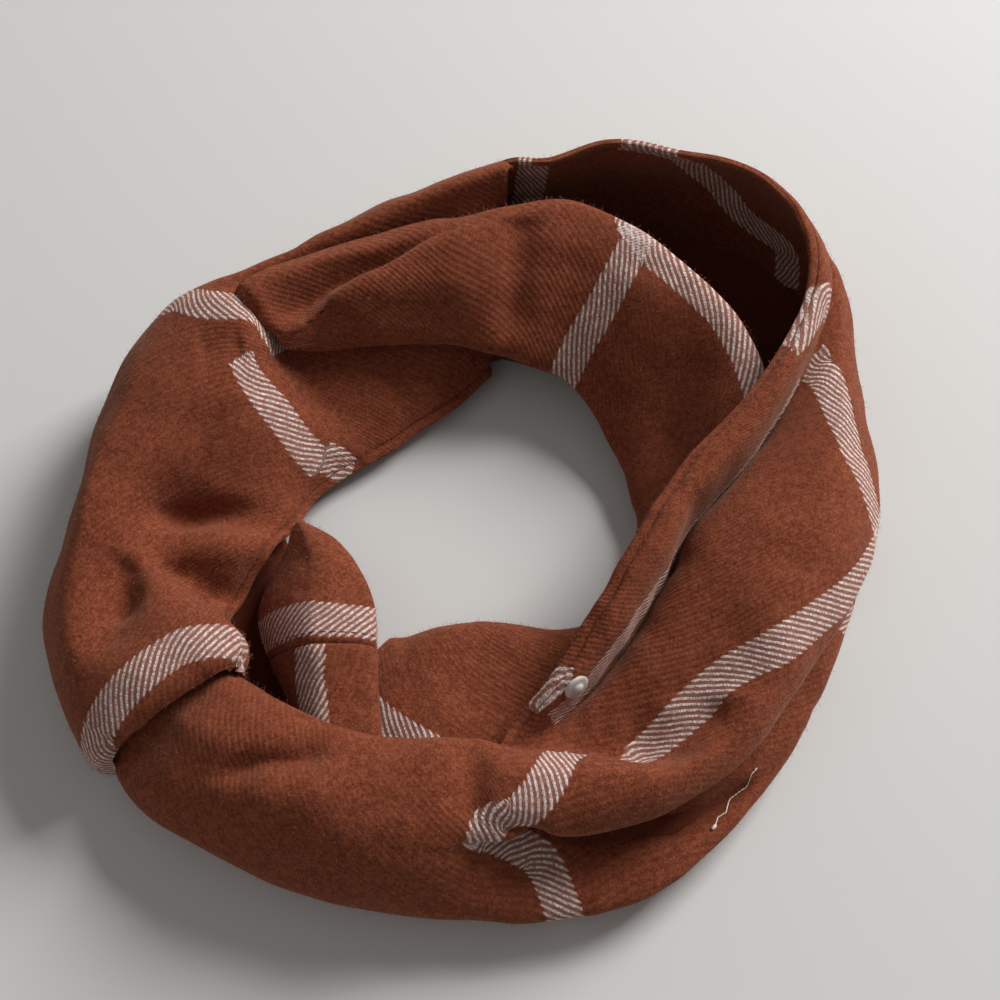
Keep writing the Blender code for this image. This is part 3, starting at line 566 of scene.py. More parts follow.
rightLay = {
    # a row: bearing in degrees, then the radius and height in mm of
    # hem, band, lip, valley, rise, plain, pocket, border, crest, brow, roll, pleat, ledge, belly, foot
    "rows": (
        (90, (98.5, 40), (99.5, 38.3), (100.5, 36.3), (101.5, 34), (102.3, 31.5), (103, 29),
         (103.5, 26), (104, 23), (104.3, 20), (104.5, 17), (104.5, 14), (104.3, 11), (104, 8),
         (103.5, 5), (102.5, 0.3)),
        (83, (104, 46.5), (105.3, 44), (106.3, 40), (107, 36), (107.7, 33), (108, 30), (108.3, 27),
         (108.5, 24), (108.5, 21), (108.5, 18), (108.5, 15), (108.5, 12), (108.2, 8), (107.8, 5),
         (106.8, 0.3)),
        (78, (104, 48), (106, 45.5), (107.5, 41), (108.5, 37), (109.5, 34), (110, 30), (110.5, 27),
         (111, 24), (111, 21), (111, 18), (111, 15), (111, 12), (111, 8), (110.5, 5), (109.5, 0.3)),
        (69, (115, 49.5), (117, 46.5), (118.5, 42), (119.5, 38), (120.5, 34.5), (121.5, 31),
         (122.5, 27.5), (123.5, 24), (124, 21), (124.5, 18), (124.5, 15), (124.5, 12), (124, 8),
         (123.5, 5), (122.5, 0.3)),
        (60, (120, 49), (122, 46), (124, 42), (125.5, 38), (127, 34.5), (128, 31), (129, 27.5),
         (130, 24), (130.5, 21), (131, 18), (131, 15), (131, 12), (130.5, 8), (130, 5), (129, 0.3)),
        (50, (125.5, 50), (128, 47), (129.5, 43), (131, 39), (132.5, 35), (133.5, 31), (134.5, 27.5),
         (135, 24), (135.5, 21), (136, 18), (136, 15), (136, 12), (135.5, 8), (135, 5), (134, 0.3)),
        (42, (122.5, 49.5), (125.5, 48), (128, 44), (129.5, 40), (131.5, 37), (133, 33.5), (134.5, 30),
         (135.5, 26), (136, 22.5), (136.5, 19), (136.5, 16), (136.5, 12), (136, 8), (135.5, 5),
         (134.5, 0.3)),
        (34, (111.5, 46.5), (115.5, 47.8), (119.5, 44.5), (121.5, 38), (123.5, 37.5), (125.5, 36),
         (127.5, 32.5), (129, 29), (130, 24), (130.5, 19), (130.5, 16), (130.5, 12), (130, 8),
         (129.5, 5), (128, 0.3)),
        (24, (86, 44.5), (92, 46), (97.5, 43), (99.6, 34), (102.6, 35), (108.5, 37), (112.5, 35.5),
         (116, 32), (118.5, 27), (119.8, 22), (120, 18), (120, 14), (119.5, 10), (118.5, 6),
         (116.5, 0.3)),
        (12, (59.5, 42.5), (67, 44), (74, 42), (76.6, 25), (79.4, 33), (91, 36.5), (99, 37.5),
         (105, 34.5),
         (109.5, 30), (113, 25), (114.8, 20), (114.8, 16), (114.3, 11), (113, 6), (110.5, 0.3)),
        (2, (50.5, 41.5), (55.5, 43), (60, 41), (62.3, 21.5), (65.2, 32), (77, 36.5), (88, 38.5),
         (96, 37),
         (102.5, 33), (108, 27), (111.3, 20.5), (110.8, 17), (110.5, 11), (109.3, 6), (106, 0.3)),
        (-12, (44.5, 40), (49, 41.5), (53.3, 39.5), (55.6, 19.5), (58.8, 30.5), (70, 34.5), (80, 37),
         (87.5, 37.5), (94, 35), (99.5, 30), (102, 24.5), (99.3, 19.3), (102, 15.5), (104.5, 10),
         (101.5, 0.3)),
        (-27, (42, 37), (46, 38.5), (50.3, 36.5), (52.9, 17.5), (56.4, 27.5), (67, 31), (77, 34),
         (84, 35.5),
         (89, 34), (93.2, 30), (94.8, 25), (88.5, 19.5), (95, 16), (101.5, 11), (98.5, 0.3)),
        (-41, (42, 34), (46, 35.2), (50, 33), (52.6, 16), (56.2, 24.5), (65, 26.5), (76, 27), (82, 31.5),
         (87, 32.5), (90.5, 29.5), (91.8, 25), (83, 19), (91, 16), (101.5, 11), (98.5, 0.3)),
        (-52, (44.5, 31), (48, 32), (51.3, 30), (53.8, 15.5), (57.2, 22), (65, 22.5), (76, 21.5),
         (80, 29.5), (84.5, 33.5), (88, 31), (89.7, 25.5), (80, 18), (89.5, 15), (102.5, 11),
         (99.5, 0.3)),
        (-64, (48.5, 28), (51, 29), (53.3, 27.5), (55.6, 17), (59, 19.5), (63, 20), (66.5, 22), (69, 29),
         (76, 34.5), (83, 32.5), (86.2, 26), (77, 18.5), (87, 15), (102.5, 11), (99.5, 0.3)),
        (-76, (54, 23), (55.7, 23.6), (57.3, 23.2), (58.8, 22), (60, 21.7), (61, 22.3), (61.7, 24.2),
         (62, 28), (70, 34.5), (78, 33), (83, 27.5), (75, 19.5), (82.5, 16.5), (100, 11.5),
         (96.5, 0.3)),
        (-81, (60, 24), (60.5, 24.2), (60.6, 24), (60.8, 23.3), (60.8, 23.1), (60.6, 23.5), (59.8, 25),
         (59.4, 28.1), (67.5, 34.3), (76.5, 33.4), (83.5, 28.5), (74, 21), (82, 17.5), (99, 11.5),
         (95.5, 0.3)),
        (-86, (67, 25), (65.6, 24.8), (64.2, 24.6), (62.8, 24.5), (61.4, 24.5), (60, 24.7), (58, 25.8),
         (57.2, 28.2), (65, 34), (75, 33.5), (82, 28.5), (80, 25), (86, 21), (97.5, 12), (94.5, 0.3)),
        (-98, (70, 25.4), (68.3, 25.1), (66.6, 24.9), (65, 24.8), (63.3, 24.7), (61.6, 24.8),
         (58.8, 25.8), (58, 28.2), (65.5, 32.7), (75, 33), (82, 31), (86, 28), (91, 23), (97, 12),
         (94, 0.3)),
        (-112, (73, 25.4), (71.3, 25.1), (69.6, 24.9), (68, 24.8), (66.3, 24.7), (64.6, 24.8),
         (61.8, 25.8), (61, 28.2), (67.5, 31.7), (75, 33), (82, 32), (88, 28.5), (93.5, 22), (98.5, 12),
         (96, 0.3)),
        (-128, (76, 25.4), (74.3, 25.1), (72.6, 24.9), (71, 24.8), (69.3, 24.7), (67.6, 24.8),
         (64.8, 25.8), (64, 28.2), (70, 32), (78, 33.5), (86, 31.5), (92, 27.5), (97.5, 21), (102, 12),
         (99.5, 0.3)),
        (-142, (80, 23.4), (78.3, 23.1), (76.6, 22.9), (75, 22.8), (73.3, 22.7), (71.6, 22.9), (69, 24),
         (68.5, 26.3), (75, 29.5), (84, 29.5), (91.5, 26), (99, 21.5), (104.5, 16), (107, 10),
         (104, 0.3)),
        (-154, (84, 18), (82.5, 17.7), (81, 17.6), (79.5, 17.5), (78, 17.6), (76.5, 18), (74.5, 19.2),
         (74.5, 21.7), (80, 25), (86.5, 25), (93, 22.5), (98, 18.5), (101.5, 13.5), (103, 9),
         (101, 0.3)),
    ),
    "polar": True, "side": -1, "hem": 1, "stations": 372, "columns": 112, "soften": 5, "thick": 1.15,
    "seed": 8, "ripple": 0.30, "rolls": (0.0, 0.0),
    "lengthStripes": (
        (30, ((68, -0.5), (65, 0.3), (63, 0.8), (60, 1.6), (58, 3.9), (55, 6.6), (52, 8.8), (49, 9.7),
              (47, 10.1),
              (45, 10.8), (44, 12.4), (43, 14.2))),
        (-35, ((24, 3.0), (17, 2.8), (10, 2.7), (1, 2.75), (-7, 2.7), (-17, 2.55), (-25, 2.45),
               (-32, 2.4), (-39, 2.4),
               (-46, 2.4), (-54, 2.45), (-62, 2.5), (-66, 2.55)), (0.0, 3.05)),
        (-40, ((14, 14.2), (11, 12.8), (7, 11.4), (3, 10.6), (-3, 9.8), (-8, 9.4), (-11, 9.1),
               (-15, 8.6), (-20, 8.0), (-25, 7.3), (-29, 6.6),
               (-33, 6.2), (-38, 6.0), (-44, 5.9), (-52, 5.9), (-55, 6.3), (-57, 6.9)), (0.0, 99.0)),
    ),
    "crossStripes": (
        (-30, ((79, -0.5), (80, 4.0), (80.5, 8.0), (81, 14.2))),
        (30, ((27, -0.4), (28, 0.3), (29.2, 0.9), (30.4, 1.5), (31, 2.1), (30.8, 2.8)), (-1.0, 2.9)),
        (35, ((26.5, 3.0), (26, 3.5), (24, 4.2), (21, 5.1), (17, 5.9),
              (14, 6.4), (10, 7.1), (7, 7.9), (4, 8.6), (1, 9.4), (-1, 10.2), (-4, 10.9), (-8, 11.3),
              (-11.5, 11.7),
              (-11.5, 12.6), (-11, 13.4), (-10.5, 14.2)), (3.2, 99.0)),
        (20, ((-70, -0.4), (-66.5, 0.3), (-62.5, 1.0), (-58.5, 1.9)), (-1.0, 1.9)),
        (46, ((-64, 6.2), (-67, 6.9), (-70, 7.5), (-74, 8.3), (-77, 8.8), (-80, 9.2), (-83, 9.3),
              (-85, 9.6),
              (-86, 10.4), (-85, 11.2), (-83, 11.7), (-80, 12.0), (-77, 12.2), (-75.5, 12.6),
              (-74, 14.2))),
    ),
    "creases": (
        (4.5, -2.6, ((-86, 7.2), (-87, 7.9), (-87.5, 8.8), (-87, 9.6))),
        (3.2, -4.5, ((-86, 9.5), (-83, 9.5), (-81, 9.6), (-78.5, 9.8), (-76, 10.4), (-72.5, 11.3),
                     (-69, 11.8), (-63, 11.9),
                     (-57, 12.1), (-51, 12.3), (-44, 12.5), (-39, 12.7), (-31, 12.8))),
        (4.0, 1.0, ((-84, 9.8), (-74, 9.9), (-60, 9.9), (-44, 9.9), (-28, 9.9))),
        (3.4, -3.4, ((-133, 10.4), (-129, 9.8), (-126, 9.2), (-122, 8.8), (-119, 8.3), (-115, 8.0))),
        (6.5, -2.4, ((-36, 6.4), (-42, 6.9), (-47, 6.9), (-53, 6.5))),
        (5.0, 1.2, ((-126, 10.4), (-119, 9.9), (-112, 9.2))),
        (4.0, -1.8, ((-147, 7.4), (-145, 9.0), (-144, 11.0), (-145, 12.6))),
        (7.0, -1.0, ((-104, 11.2), (-102, 9.6), (-101, 8.6))),
        (6.0, -1.2, ((68, 0.3), (67, 3.0), (66, 7.5), (63, 12.0))),
        (7.0, 1.0, ((59, 1.0), (57, 5.0), (55, 9.0))),
        (6.0, -1.0, ((45, 1.5), (40, 4.0), (36, 6.0))),
        (8.0, -1.2, ((-20, 5.2), (-28, 6.2), (-36, 7.2))),
        (8.0, -1.0, ((6, 5.4), (-4, 6.4), (-14, 6.8))),
        (7.0, 0.9, ((-40, 5.4), (-46, 6.0), (-50, 6.8))),
        (6.0, -1.0, ((-128, 8.6), (-132, 10.0), (-134, 11.6))),
        (7.0, -1.0, ((-60, 12.0), (-50, 12.7), (-40, 12.6))),
        (7.0, -0.9, ((20, 9.0), (14, 11.0), (12, 12.6))),
        (7.0, -0.9, ((60, 8.0), (52, 11.0), (48, 13.0))),
        (7.0, 0.8, ((-96, 9.0), (-100, 10.4), (-98, 12.0))),
        (8.0, -1.0, ((-148, 8.6), (-144, 10.2), (-140, 12.0))),
        (7.0, -0.9, ((-20, 10.6), (-26, 12.4), (-24, 13.2))),
    ),
}

innerLay = {
    # a row: bearing in degrees, then the radius and height in mm of
    # back, ridge, valley, roll, face, lower, edge, tuck
    "rows": (
        (134, (89, 43), (84.5, 43.6), (78, 39.3), (73.5, 35.5), (72, 34.6), (71.2, 33.7), (70.6, 32.7),
         (71.8, 32.2)),
        (127, (88, 42), (83.5, 43.5), (76, 34.5), (70.5, 37.5), (69, 35), (67.8, 31), (67, 27.5),
         (69.5, 26)),
        (117, (85.8, 41), (81.5, 43.5), (76, 36), (71, 42), (67.3, 38), (64.5, 31.5), (63, 25.5),
         (66, 24)),
        (106, (85.3, 41.5), (80, 43.5), (76.5, 39), (73, 43), (67, 39.5), (62, 32), (59.5, 25),
         (62.5, 22.8)),
        (97, (86.5, 42), (82.5, 44), (79.5, 42.5), (77, 44), (69, 39.5), (62, 31.5), (58, 24.5),
         (61, 22)),
        (89, (89, 38.5), (87, 42.7), (84, 44), (81.5, 44), (72, 39.5), (62.5, 31), (57, 23.5),
         (60, 21)),
        (80, (95, 36), (93.2, 42), (91, 43.7), (88, 43.8), (76, 39), (64, 30.5), (56, 22.5), (59, 20)),
        (71, (100, 34), (98.5, 40), (96.5, 42.3), (94.5, 42.7), (80, 37.5), (65, 28.5), (56.5, 20),
         (59.5, 17.5)),
        (61, (100, 30), (98.5, 37.5), (97, 40.5), (95, 41.2), (80, 36), (67, 26), (58.5, 16.5),
         (61.5, 14)),
        (50, (98, 26), (96.5, 34.5), (95, 38.5), (93, 39.5), (80, 34), (67, 23), (56.5, 12), (59, 9.5)),
        (38, (97.5, 22), (96, 31), (94.7, 36), (92.5, 37.5), (80, 31), (66, 20), (53, 9), (55.5, 6.5)),
        (26, (95, 17), (94, 25.5), (92, 30.5), (88, 32.5), (77, 28), (64, 17.5), (51, 7.5), (53.5, 5)),
        (14, (92, 12), (90, 19), (87, 23.5), (81, 26), (72, 24.5), (61, 16.5), (50, 6.5), (52.5, 4)),
        (2, (88, 11), (84, 16), (79, 19.5), (72, 21.5), (64, 21), (55, 16), (47.5, 7), (49.5, 4)),
        (-12, (82, 11), (78, 15.5), (73, 18.5), (66, 20), (60, 20), (53, 16), (47.5, 8), (49.5, 4.5)),
        (-27, (78, 11), (73, 15), (67, 17.5), (60, 18.7), (53, 18.7), (47, 16), (42.5, 9.5),
         (44.5, 5.5)),
        (-41, (75, 11), (69, 14.5), (62, 16.5), (54, 17.2), (46, 17.2), (39.5, 15), (35.5, 10),
         (37.5, 5.5)),
        (-55, (73, 11), (66, 14), (58, 15.7), (49, 16.3), (38, 17), (30.5, 15), (27, 10), (29, 5.5)),
        (-68, (72, 12), (64, 15), (55, 16.3), (46, 16.6), (34, 17), (26.5, 15), (23, 10), (25, 5.5)),
        (-82, (71, 14), (63, 18), (54, 18.6), (45, 17.8), (33, 17), (25, 15), (21.5, 10), (23.5, 5.5)),
        (-96, (71, 14), (63, 18), (54, 18.6), (45, 17.8), (34, 16.7), (25.5, 15), (22, 10), (24, 5.5)),
        (-108, (71, 11.5), (63, 13.8), (54, 15.3), (45, 15.8), (36, 15.5), (28, 14), (24, 9.5),
         (26, 5)),
        (-118, (71, 9), (63, 11), (54, 12), (46, 12.5), (38, 12.5), (31, 11.5), (27.5, 8), (29.5, 4.5)),
        (-128, (72, 6), (64, 8), (56, 9.5), (48, 10), (40, 10), (34, 9), (31, 6.5), (33, 4)),
    ),
    "polar": True, "side": 1, "hem": 0, "stations": 330, "columns": 96, "soften": 6, "thick": 1.15,
    "seed": 5, "ripple": 0.34, "rolls": (0.0, 3.0),
    "lengthStripes": (
        (-30, ((62.5, 0.6), (62, 1.4), (61, 2.2), (59.5, 2.8), (57, 3.05), (54, 3.15), (47, 3.1),
               (42, 3.1), (36, 3.1),
               (26, 2.9), (14, 2.6), (2, 2.5), (-20, 2.4))),
        (-35, ((-128, 2.5), (-118, 2.3), (-111, 2.05), (-104, 1.8), (-97, 1.5), (-93, 1.3), (-88, 1.0),
               (-84, 0.6))),
    ),
    "crossStripes": (
        (25, ((62, 1.6), (60, 2.4), (59, 3.2), (59, 3.6), (59, 4.1), (59.5, 4.6), (60.5, 5.2),
              (61, 6.0), (61, 7.0))),
    ),
    "creases": (
        (5.0, -2.4, ((80, 2.9), (79, 3.6), (78, 4.5), (77, 5.6))),
        (5.0, -1.2, ((119, 3.4), (122, 3.7), (129, 3.2))),
        (6.0, 1.1, ((47, 5.5), (51, 4.8), (53, 3.9), (55, 3.4))),
        (6.0, -1.5, ((22, 5.5), (31, 4.8), (35, 4.3), (38, 3.7))),
        (6.0, 1.0, ((92, 2.6), (91, 3.6), (93, 4.8))),
        (5.0, -1.0, ((108, 4.0), (105, 4.7), (100, 5.3))),
        (6.0, -1.0, ((68, 3.6), (66, 4.4), (65, 5.3))),
        (7.0, -0.8, ((-100, 2.6), (-104, 3.4), (-102, 4.4))),
        (7.0, -0.8, ((-86, 3.6), (-82, 4.4), (-84, 5.2))),
        (7.0, 0.7, ((-60, 2.4), (-64, 3.4), (-62, 4.6))),
    ),
}

flapRows = (
    # a row: place along Y, then the place along X and the height in mm of
    # outer, rise, fold, face, side, under
    (6.0, (-46, 14.5), (-45.3, 16), (-44.6, 17), (-44, 16.5), (-43.3, 15), (-43.6, 12.5)),
    (0.0, (-47.3, 12), (-45.2, 17), (-41, 21.5), (-38, 21), (-35, 18), (-35.8, 12)),
    (-9.0, (-52.5, 8), (-48, 16), (-38.8, 23.5), (-34, 23), (-27.5, 18.8), (-28, 11)),
    (-18.0, (-54.5, 8), (-49.5, 16), (-38.3, 24), (-32, 23.6), (-23.5, 19.3), (-24, 11)),
    (-30.0, (-51, 9), (-46.5, 16), (-36.8, 23.5), (-31, 23.5), (-22.3, 20), (-22.5, 13)),
    (-43.0, (-44.5, 12), (-41, 17), (-34.5, 21.5), (-29, 21.8), (-21.5, 20), (-21.5, 16.7)),
    (-54.0, (-41, 13), (-38.5, 17.5), (-34, 20.3), (-27.5, 20.6), (-20.5, 19.6), (-20, 17)),
    (-64.0, (-35, 14), (-33.5, 17.5), (-31, 19.5), (-26, 20), (-19, 19.2), (-18.5, 16.8)),
)
flapLook = {"polar": False, "side": -1, "hem": 0, "columns": 64, "soften": 3, "thick": 1.15, "ripple": 0.16}
seamAt = {"y": -31.0, "gap": 0.25, "stitches": 2.6}  # mm, where the loop's short ends meet


def flapPart(first, last, stations, rolls, seed, length, cross, creases):
    # the flap's rows kept between two places along Y, with a row worked out at each cut
    known, table = sectionsOf({"rows": flapRows})
    ends = curveThrough(known, table, [first, last])
    inside = [row for row in sorted(flapRows) if first < row[0] < last]
    rows = [(first, *map(tuple, ends[0])), *inside, (last, *map(tuple, ends[1]))]
    return {**flapLook, "rows": rows, "stations": stations, "rolls": rolls, "seed": seed,
            "lengthStripes": length, "crossStripes": cross, "creases": creases}


flapUpperLay = flapPart(
    seamAt["y"] + seamAt["gap"] / 2, 6.0, 62, (1.4, 2.0), 21, (),
    ((42, ((-24.5, -0.4), (-24.5, 1.5), (-25, 2.8), (-25, 5.4))),),
    ((3.0, -0.9, ((-4, 1.6), (-12, 1.8), (-20, 1.7))), (4.0, -0.7, ((-10, 3.1), (-18, 3.4), (-24, 3.2)))))
flapLowerLay = flapPart(
    -64.0, seamAt["y"] - seamAt["gap"] / 2, 52, (2.0, 1.4), 22,
    ((-35, ((-30.5, 1.75), (-34, 1.7), (-42, 1.5), (-52, 1.5), (-64.5, 1.5))),), (),
    ((3.5, -0.7, ((-34, 3.0), (-42, 3.2), (-50, 3.1))),))


faceFlannel = flannel("plaidFlannel")
turnedFlannel = flannel("plaidFlannelTurned", -1.0)
leftCloth = layCloth("leftCloth", leftLay, faceFlannel)
rightCloth = layCloth("rightCloth", rightLay, turnedFlannel)
innerCloth = layCloth("innerCloth", innerLay, faceFlannel)
flapUpper = layCloth("flapUpperCloth", flapUpperLay, turnedFlannel)
flapLower = layCloth("flapLowerCloth", flapLowerLay, turnedFlannel)


underLay = {"stations": 240, "inset": 0.9, "thick": 1.2, "slit": 1.2, "radiusSteps": 44, "slitSteps": 12,
            "lowest": 2.4, "length": 470.0,
            # bearings between which it spreads out to the right stretch's wall, and how close, mm
            "wallFrom": 24.0, "wallTo": 90.0, "wallEase": 8.0, "wallGap": 2.0}


def layUnderCloth():
    # the rolled layers under the shown ones: at each bearing a closed-up strip that runs from a
    # slit on the ground round the ring's inner side, over its top and back down the outer side;
    # its outline is the hidden node's own, met by a ray from each side, drawn in by the inset
    lay = underLay
    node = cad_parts["hidden_layers"]
    tree = BVHTree.FromPolygons([corner.co for corner in node.data.vertices],
                                [tuple(face.vertices) for face in node.data.polygons])
    bearings = np.linspace(0, 360, lay["stations"] + 1)[:-1]
    centre = Vector((-ringMiddle[0] * mm, -ringMiddle[1] * mm, 1.0 * mm))
    outside, above = 0.2, 0.1  # m, where the rays set out from
    inner, outer = [], []
    for bearing in bearings:
        turn = math.radians(bearing)
        way = Vector((math.cos(turn), math.sin(turn), 0.0))
        inner.append((tree.ray_cast(centre, way)[0] - centre).length / mm)
        far = centre + way * outside
        outer.append((tree.ray_cast(far, -way)[0] - centre).length / mm)
    inner, outer = np.array(inner) + lay["inset"], np.array(outer) - lay["inset"]
    known, table = sectionsOf(rightLay)
    wall = curveThrough(known, table[:, -1, 0], bearings) - lay["wallGap"]
    spread = (smoothStep(lay["wallFrom"], lay["wallFrom"] + lay["wallEase"], bearings)
              * smoothStep(lay["wallTo"], lay["wallTo"] - lay["wallEase"], bearings))
    outer += np.maximum(wall - outer, 0.0) * spread
    share = np.linspace(0, 1, lay["radiusSteps"])[None, :]
    radius = inner[:, None] * (1 - share) + outer[:, None] * share
    turn = np.radians(bearings)[:, None]
    x, y = radius * np.cos(turn), radius * np.sin(turn)

    def heightAt(a, b):
        # where a ray from above meets the hidden layers, in mm
        start = Vector(((a - ringMiddle[0]) * mm, (b - ringMiddle[1]) * mm, above))
        met = tree.ray_cast(start, Vector((0.0, 0.0, -1.0)))[0]
        return met.z / mm if met else 0.0

    top = np.array([heightAt(a, b) for a, b in zip(x.ravel(), y.ravel())]).reshape(x.shape)
    top = np.maximum(top - lay["inset"] - lay["thick"] / 2, lay["lowest"])
    middle, steps = (inner + outer)[:, None] / 2, np.linspace(0, 1, lay["slitSteps"])
    lipIn, lipOut = middle - lay["slit"] / 2, middle + lay["slit"] / 2
    bottomIn = lipIn + (inner[:, None] - lipIn) * steps
    bottomOut = outer[:, None] + (lipOut - outer[:, None]) * steps
    flat = np.full(bottomIn.shape, lay["thick"] / 2)
    radii = np.concatenate([bottomIn, radius, bottomOut], axis=1)
    heights = np.concatenate([flat, top, flat], axis=1)
    return np.stack([radii * np.cos(turn), radii * np.sin(turn), heights], -1)


def ringShell(name, grid, thick, finish):
    # a thin shell closed round the ring: outer skin, inner skin and the two lips of the slit
    rows, cols = grid.shape[:2]
    away = -sheetNormals(np.concatenate([grid[-1:], grid, grid[:1]]))[1:-1] * thick / 2
    points = rowPoints(np.concatenate([grid + away, grid - away]))
    index = np.arange(rows * cols).reshape(rows, cols)
    after = np.roll(index, -1, axis=0)
    offset = rows * cols
    outerSkin = np.stack([index[:, :-1], index[:, 1:], after[:, 1:], after[:, :-1]], -1).reshape(-1, 4)
    innerSkin = outerSkin[:, ::-1] + offset
    lipA = np.stack([index[:, 0], after[:, 0], after[:, 0] + offset, index[:, 0] + offset], -1)
    lipB = np.stack([after[:, -1], index[:, -1], index[:, -1] + offset, after[:, -1] + offset], -1)
    return meshObject(name, points, np.concatenate([outerSkin, innerSkin, lipA, lipB]), finish)


underGrid = layUnderCloth()
underCloth = ringShell("underCloth", underGrid, underLay["thick"], faceFlannel)
underSize = underGrid.shape[:2]
noStripe = np.full(underSize, noStripeNear)
# the whole under cloth is painted in full shade, as it shows only in deep gaps
keepLayers(underCloth, {
    "alongThread": np.broadcast_to(np.linspace(0, underLay["length"], underSize[0])[:, None], underSize),
    "acrossThread": runAcross(underGrid), "lengthStripe": noStripe, "crossStripe": noStripe,
    "paintedShade": np.ones(underSize)})
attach(underCloth, "root")
print("underCloth laid")


def squared(vectors, axes):
    # what is left of the vectors square to the axes
    return vectors - axes * (vectors * axes).sum(-1, keepdims=True)


def onCloth(cloth, bearings, lines, lift=0.0):
    # places on a laid cloth's outer face, their outward directions and the way along the cloth
    cells = cellsAt(cloth["stations"], cloth["lines"], bearings, lines)
    away = sheetNormals(cloth["grid"]) * cloth["side"]
    face = cloth["grid"] + away * (cloth["thick"] / 2)[..., None]
    out, course = unit(blended(away, cells)), blended(np.gradient(cloth["grid"], axis=0), cells)
    return blended(face, cells) + out * lift, out, unit(squared(course, out))


def copiesMesh(name, template, faces, places, axes, finish):
    # the template's points, one copy a place, turned so its x, y and z lie on that place's axes
    points = places[:, None, :] + np.einsum("kp,nkd->npd", template.T, np.stack(axes, 1))
    steps = np.arange(len(places))[:, None, None] * template.shape[0]
    solids = []
    for size in (3, 4):
        each = np.array([face for face in faces if len(face) == size])
        solids += (each + steps).reshape(-1, size).tolist()
    made = meshObject(name, rowPoints(points), solids, finish)
    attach(made, "root")
    return made


def rodTemplate(length, radius, sides, rings, bow=0.0):
    # a rod along x whose radius is the root of 1 - (x / half length)^4, bowed along z
    at = np.sin(np.linspace(-math.pi / 2, math.pi / 2, rings)) * length / 2
    wide = radius * np.sqrt(np.clip(1 - (2 * at / length) ** 4, 0.03, 1))
    turn = np.arange(sides) * 2 * math.pi / sides
    bowed = bow * (1 - (2 * at / length) ** 2)[:, None]
    points = np.stack([np.repeat(at, sides), (wide[:, None] * np.cos(turn)).ravel(),
                       (wide[:, None] * np.sin(turn) + bowed).ravel()], -1)
    index = np.arange(rings * sides).reshape(rings, sides)
    after = np.roll(index, -1, axis=1)
    faces = np.stack([index[:-1], after[:-1], after[1:], index[1:]], -1).reshape(-1, 4).tolist()
    caps = [[index[0, 0], index[0, k + 1], index[0, k]] for k in range(1, sides - 1)]
    caps += [[index[-1, 0], index[-1, k], index[-1, k + 1]] for k in range(1, sides - 1)]
    return points, faces + caps


def plainFinish(name, deep, light, rough, scale, **extra):
    # one colour with a finer one flecked through it
    dye = Dye(name)
    place = dye.node("ShaderNodeTexCoord", None, out="Object")
    fleck = dye.noise(place, scale, 2.0)
    bump = dye.node("ShaderNodeBump", None, Strength=0.4, Distance=0.05 * mm, Height=fleck, out="Normal")
    colour = dye.mix(dye.step(fleck, 0.35, 0.65), deep, light)
    return dye.finish(Base_Color=colour, Roughness=rough, Normal=bump, **extra)


threadFinish = plainFinish("sewingThread", (0.10, 0.022, 0.012), (0.22, 0.060, 0.032), 0.7, 2200.0)
stitchSet = {"length": 1.9, "every": 2.7, "radius": 0.17, "sink": 0.05, "bow": 0.12}  # mm


def sewRow(name, cloth, bearings, lines, look=stitchSet, finish=threadFinish):
    # stitches laid end to end along a path over the cloth, each a small rod half sunk in it
    way, out, _ = onCloth(cloth, bearings, lines, -look["sink"])
    run = runDown(way)
    at = np.arange(look["every"], run[-1] - look["every"] * 0.5, look["every"])

    def read(values, where):
        return np.stack([np.interp(where, run, values[:, k]) for k in range(3)], -1)

    pick = read(way, at)
    ahead = unit(read(way, at + 0.5) - pick)
    up = unit(squared(read(out, at), ahead))
    template, faces = rodTemplate(look["length"], look["radius"], 6, 5, look["bow"])
    made = copiesMesh(name, template, faces, pick, (ahead, np.cross(up, ahead), up), finish)
    return made


def hemLine(cloth, distance):
    # the line number at one distance from the hem, station by station
    way = 1 if cloth["fromHem"][0, 0] < 1e-6 else -1
    return np.array([np.interp(distance, row, cloth["lines"][::way]) for row in cloth["fromHem"][:, ::way]])


for name, cloth in (("rightHemStitches", rightCloth), ("leftHemStitches", leftCloth)):
    sewRow(name, cloth, cloth["stations"], hemLine(cloth, hemShape["stitchLine"]))
seamLines = np.linspace(0.6, 4.4, 60)
sewRow("flapSeamStitches", flapUpper, np.full(seamLines.shape, seamAt["y"] + seamAt["stitches"]), seamLines)
looseEnd = {"length": 1.5, "every": 1.1, "radius": 0.18, "sink": -0.12, "bow": 0.0,
            "bearings": (-50, -48.5, -47, -45, -42, -40.5, -39),
            "lines": (12.6, 12.55, 12.6, 12.5, 12.55, 12.4, 12.4)}
knot = {"length": 1.8, "every": 0.9, "radius": 0.5, "sink": -0.3, "bow": 0.0}  # mm
paleThread = plainFinish("paleThread", (0.62, 0.52, 0.44), (0.78, 0.70, 0.62), 0.7, 1500.0)
looseRun = np.linspace(-50, -39, 40)
sewRow("looseThread", rightCloth, looseRun,
       np.interp(looseRun, looseEnd["bearings"], looseEnd["lines"]), looseEnd, paleThread)
sewRow("threadKnot", rightCloth, np.linspace(-50.6, -49.6, 6), np.full(6, 12.6), knot, paleThread)
print("stitches sewn")

fuzzLook = {"length": (0.6, 1.9), "radius": 0.036, "lean": 0.75, "seed": 12,
            "counts": {"leftCloth": 3600, "rightCloth": 5600, "innerCloth": 3200,
                       "flapUpperCloth": 420, "flapLowerCloth": 300}}


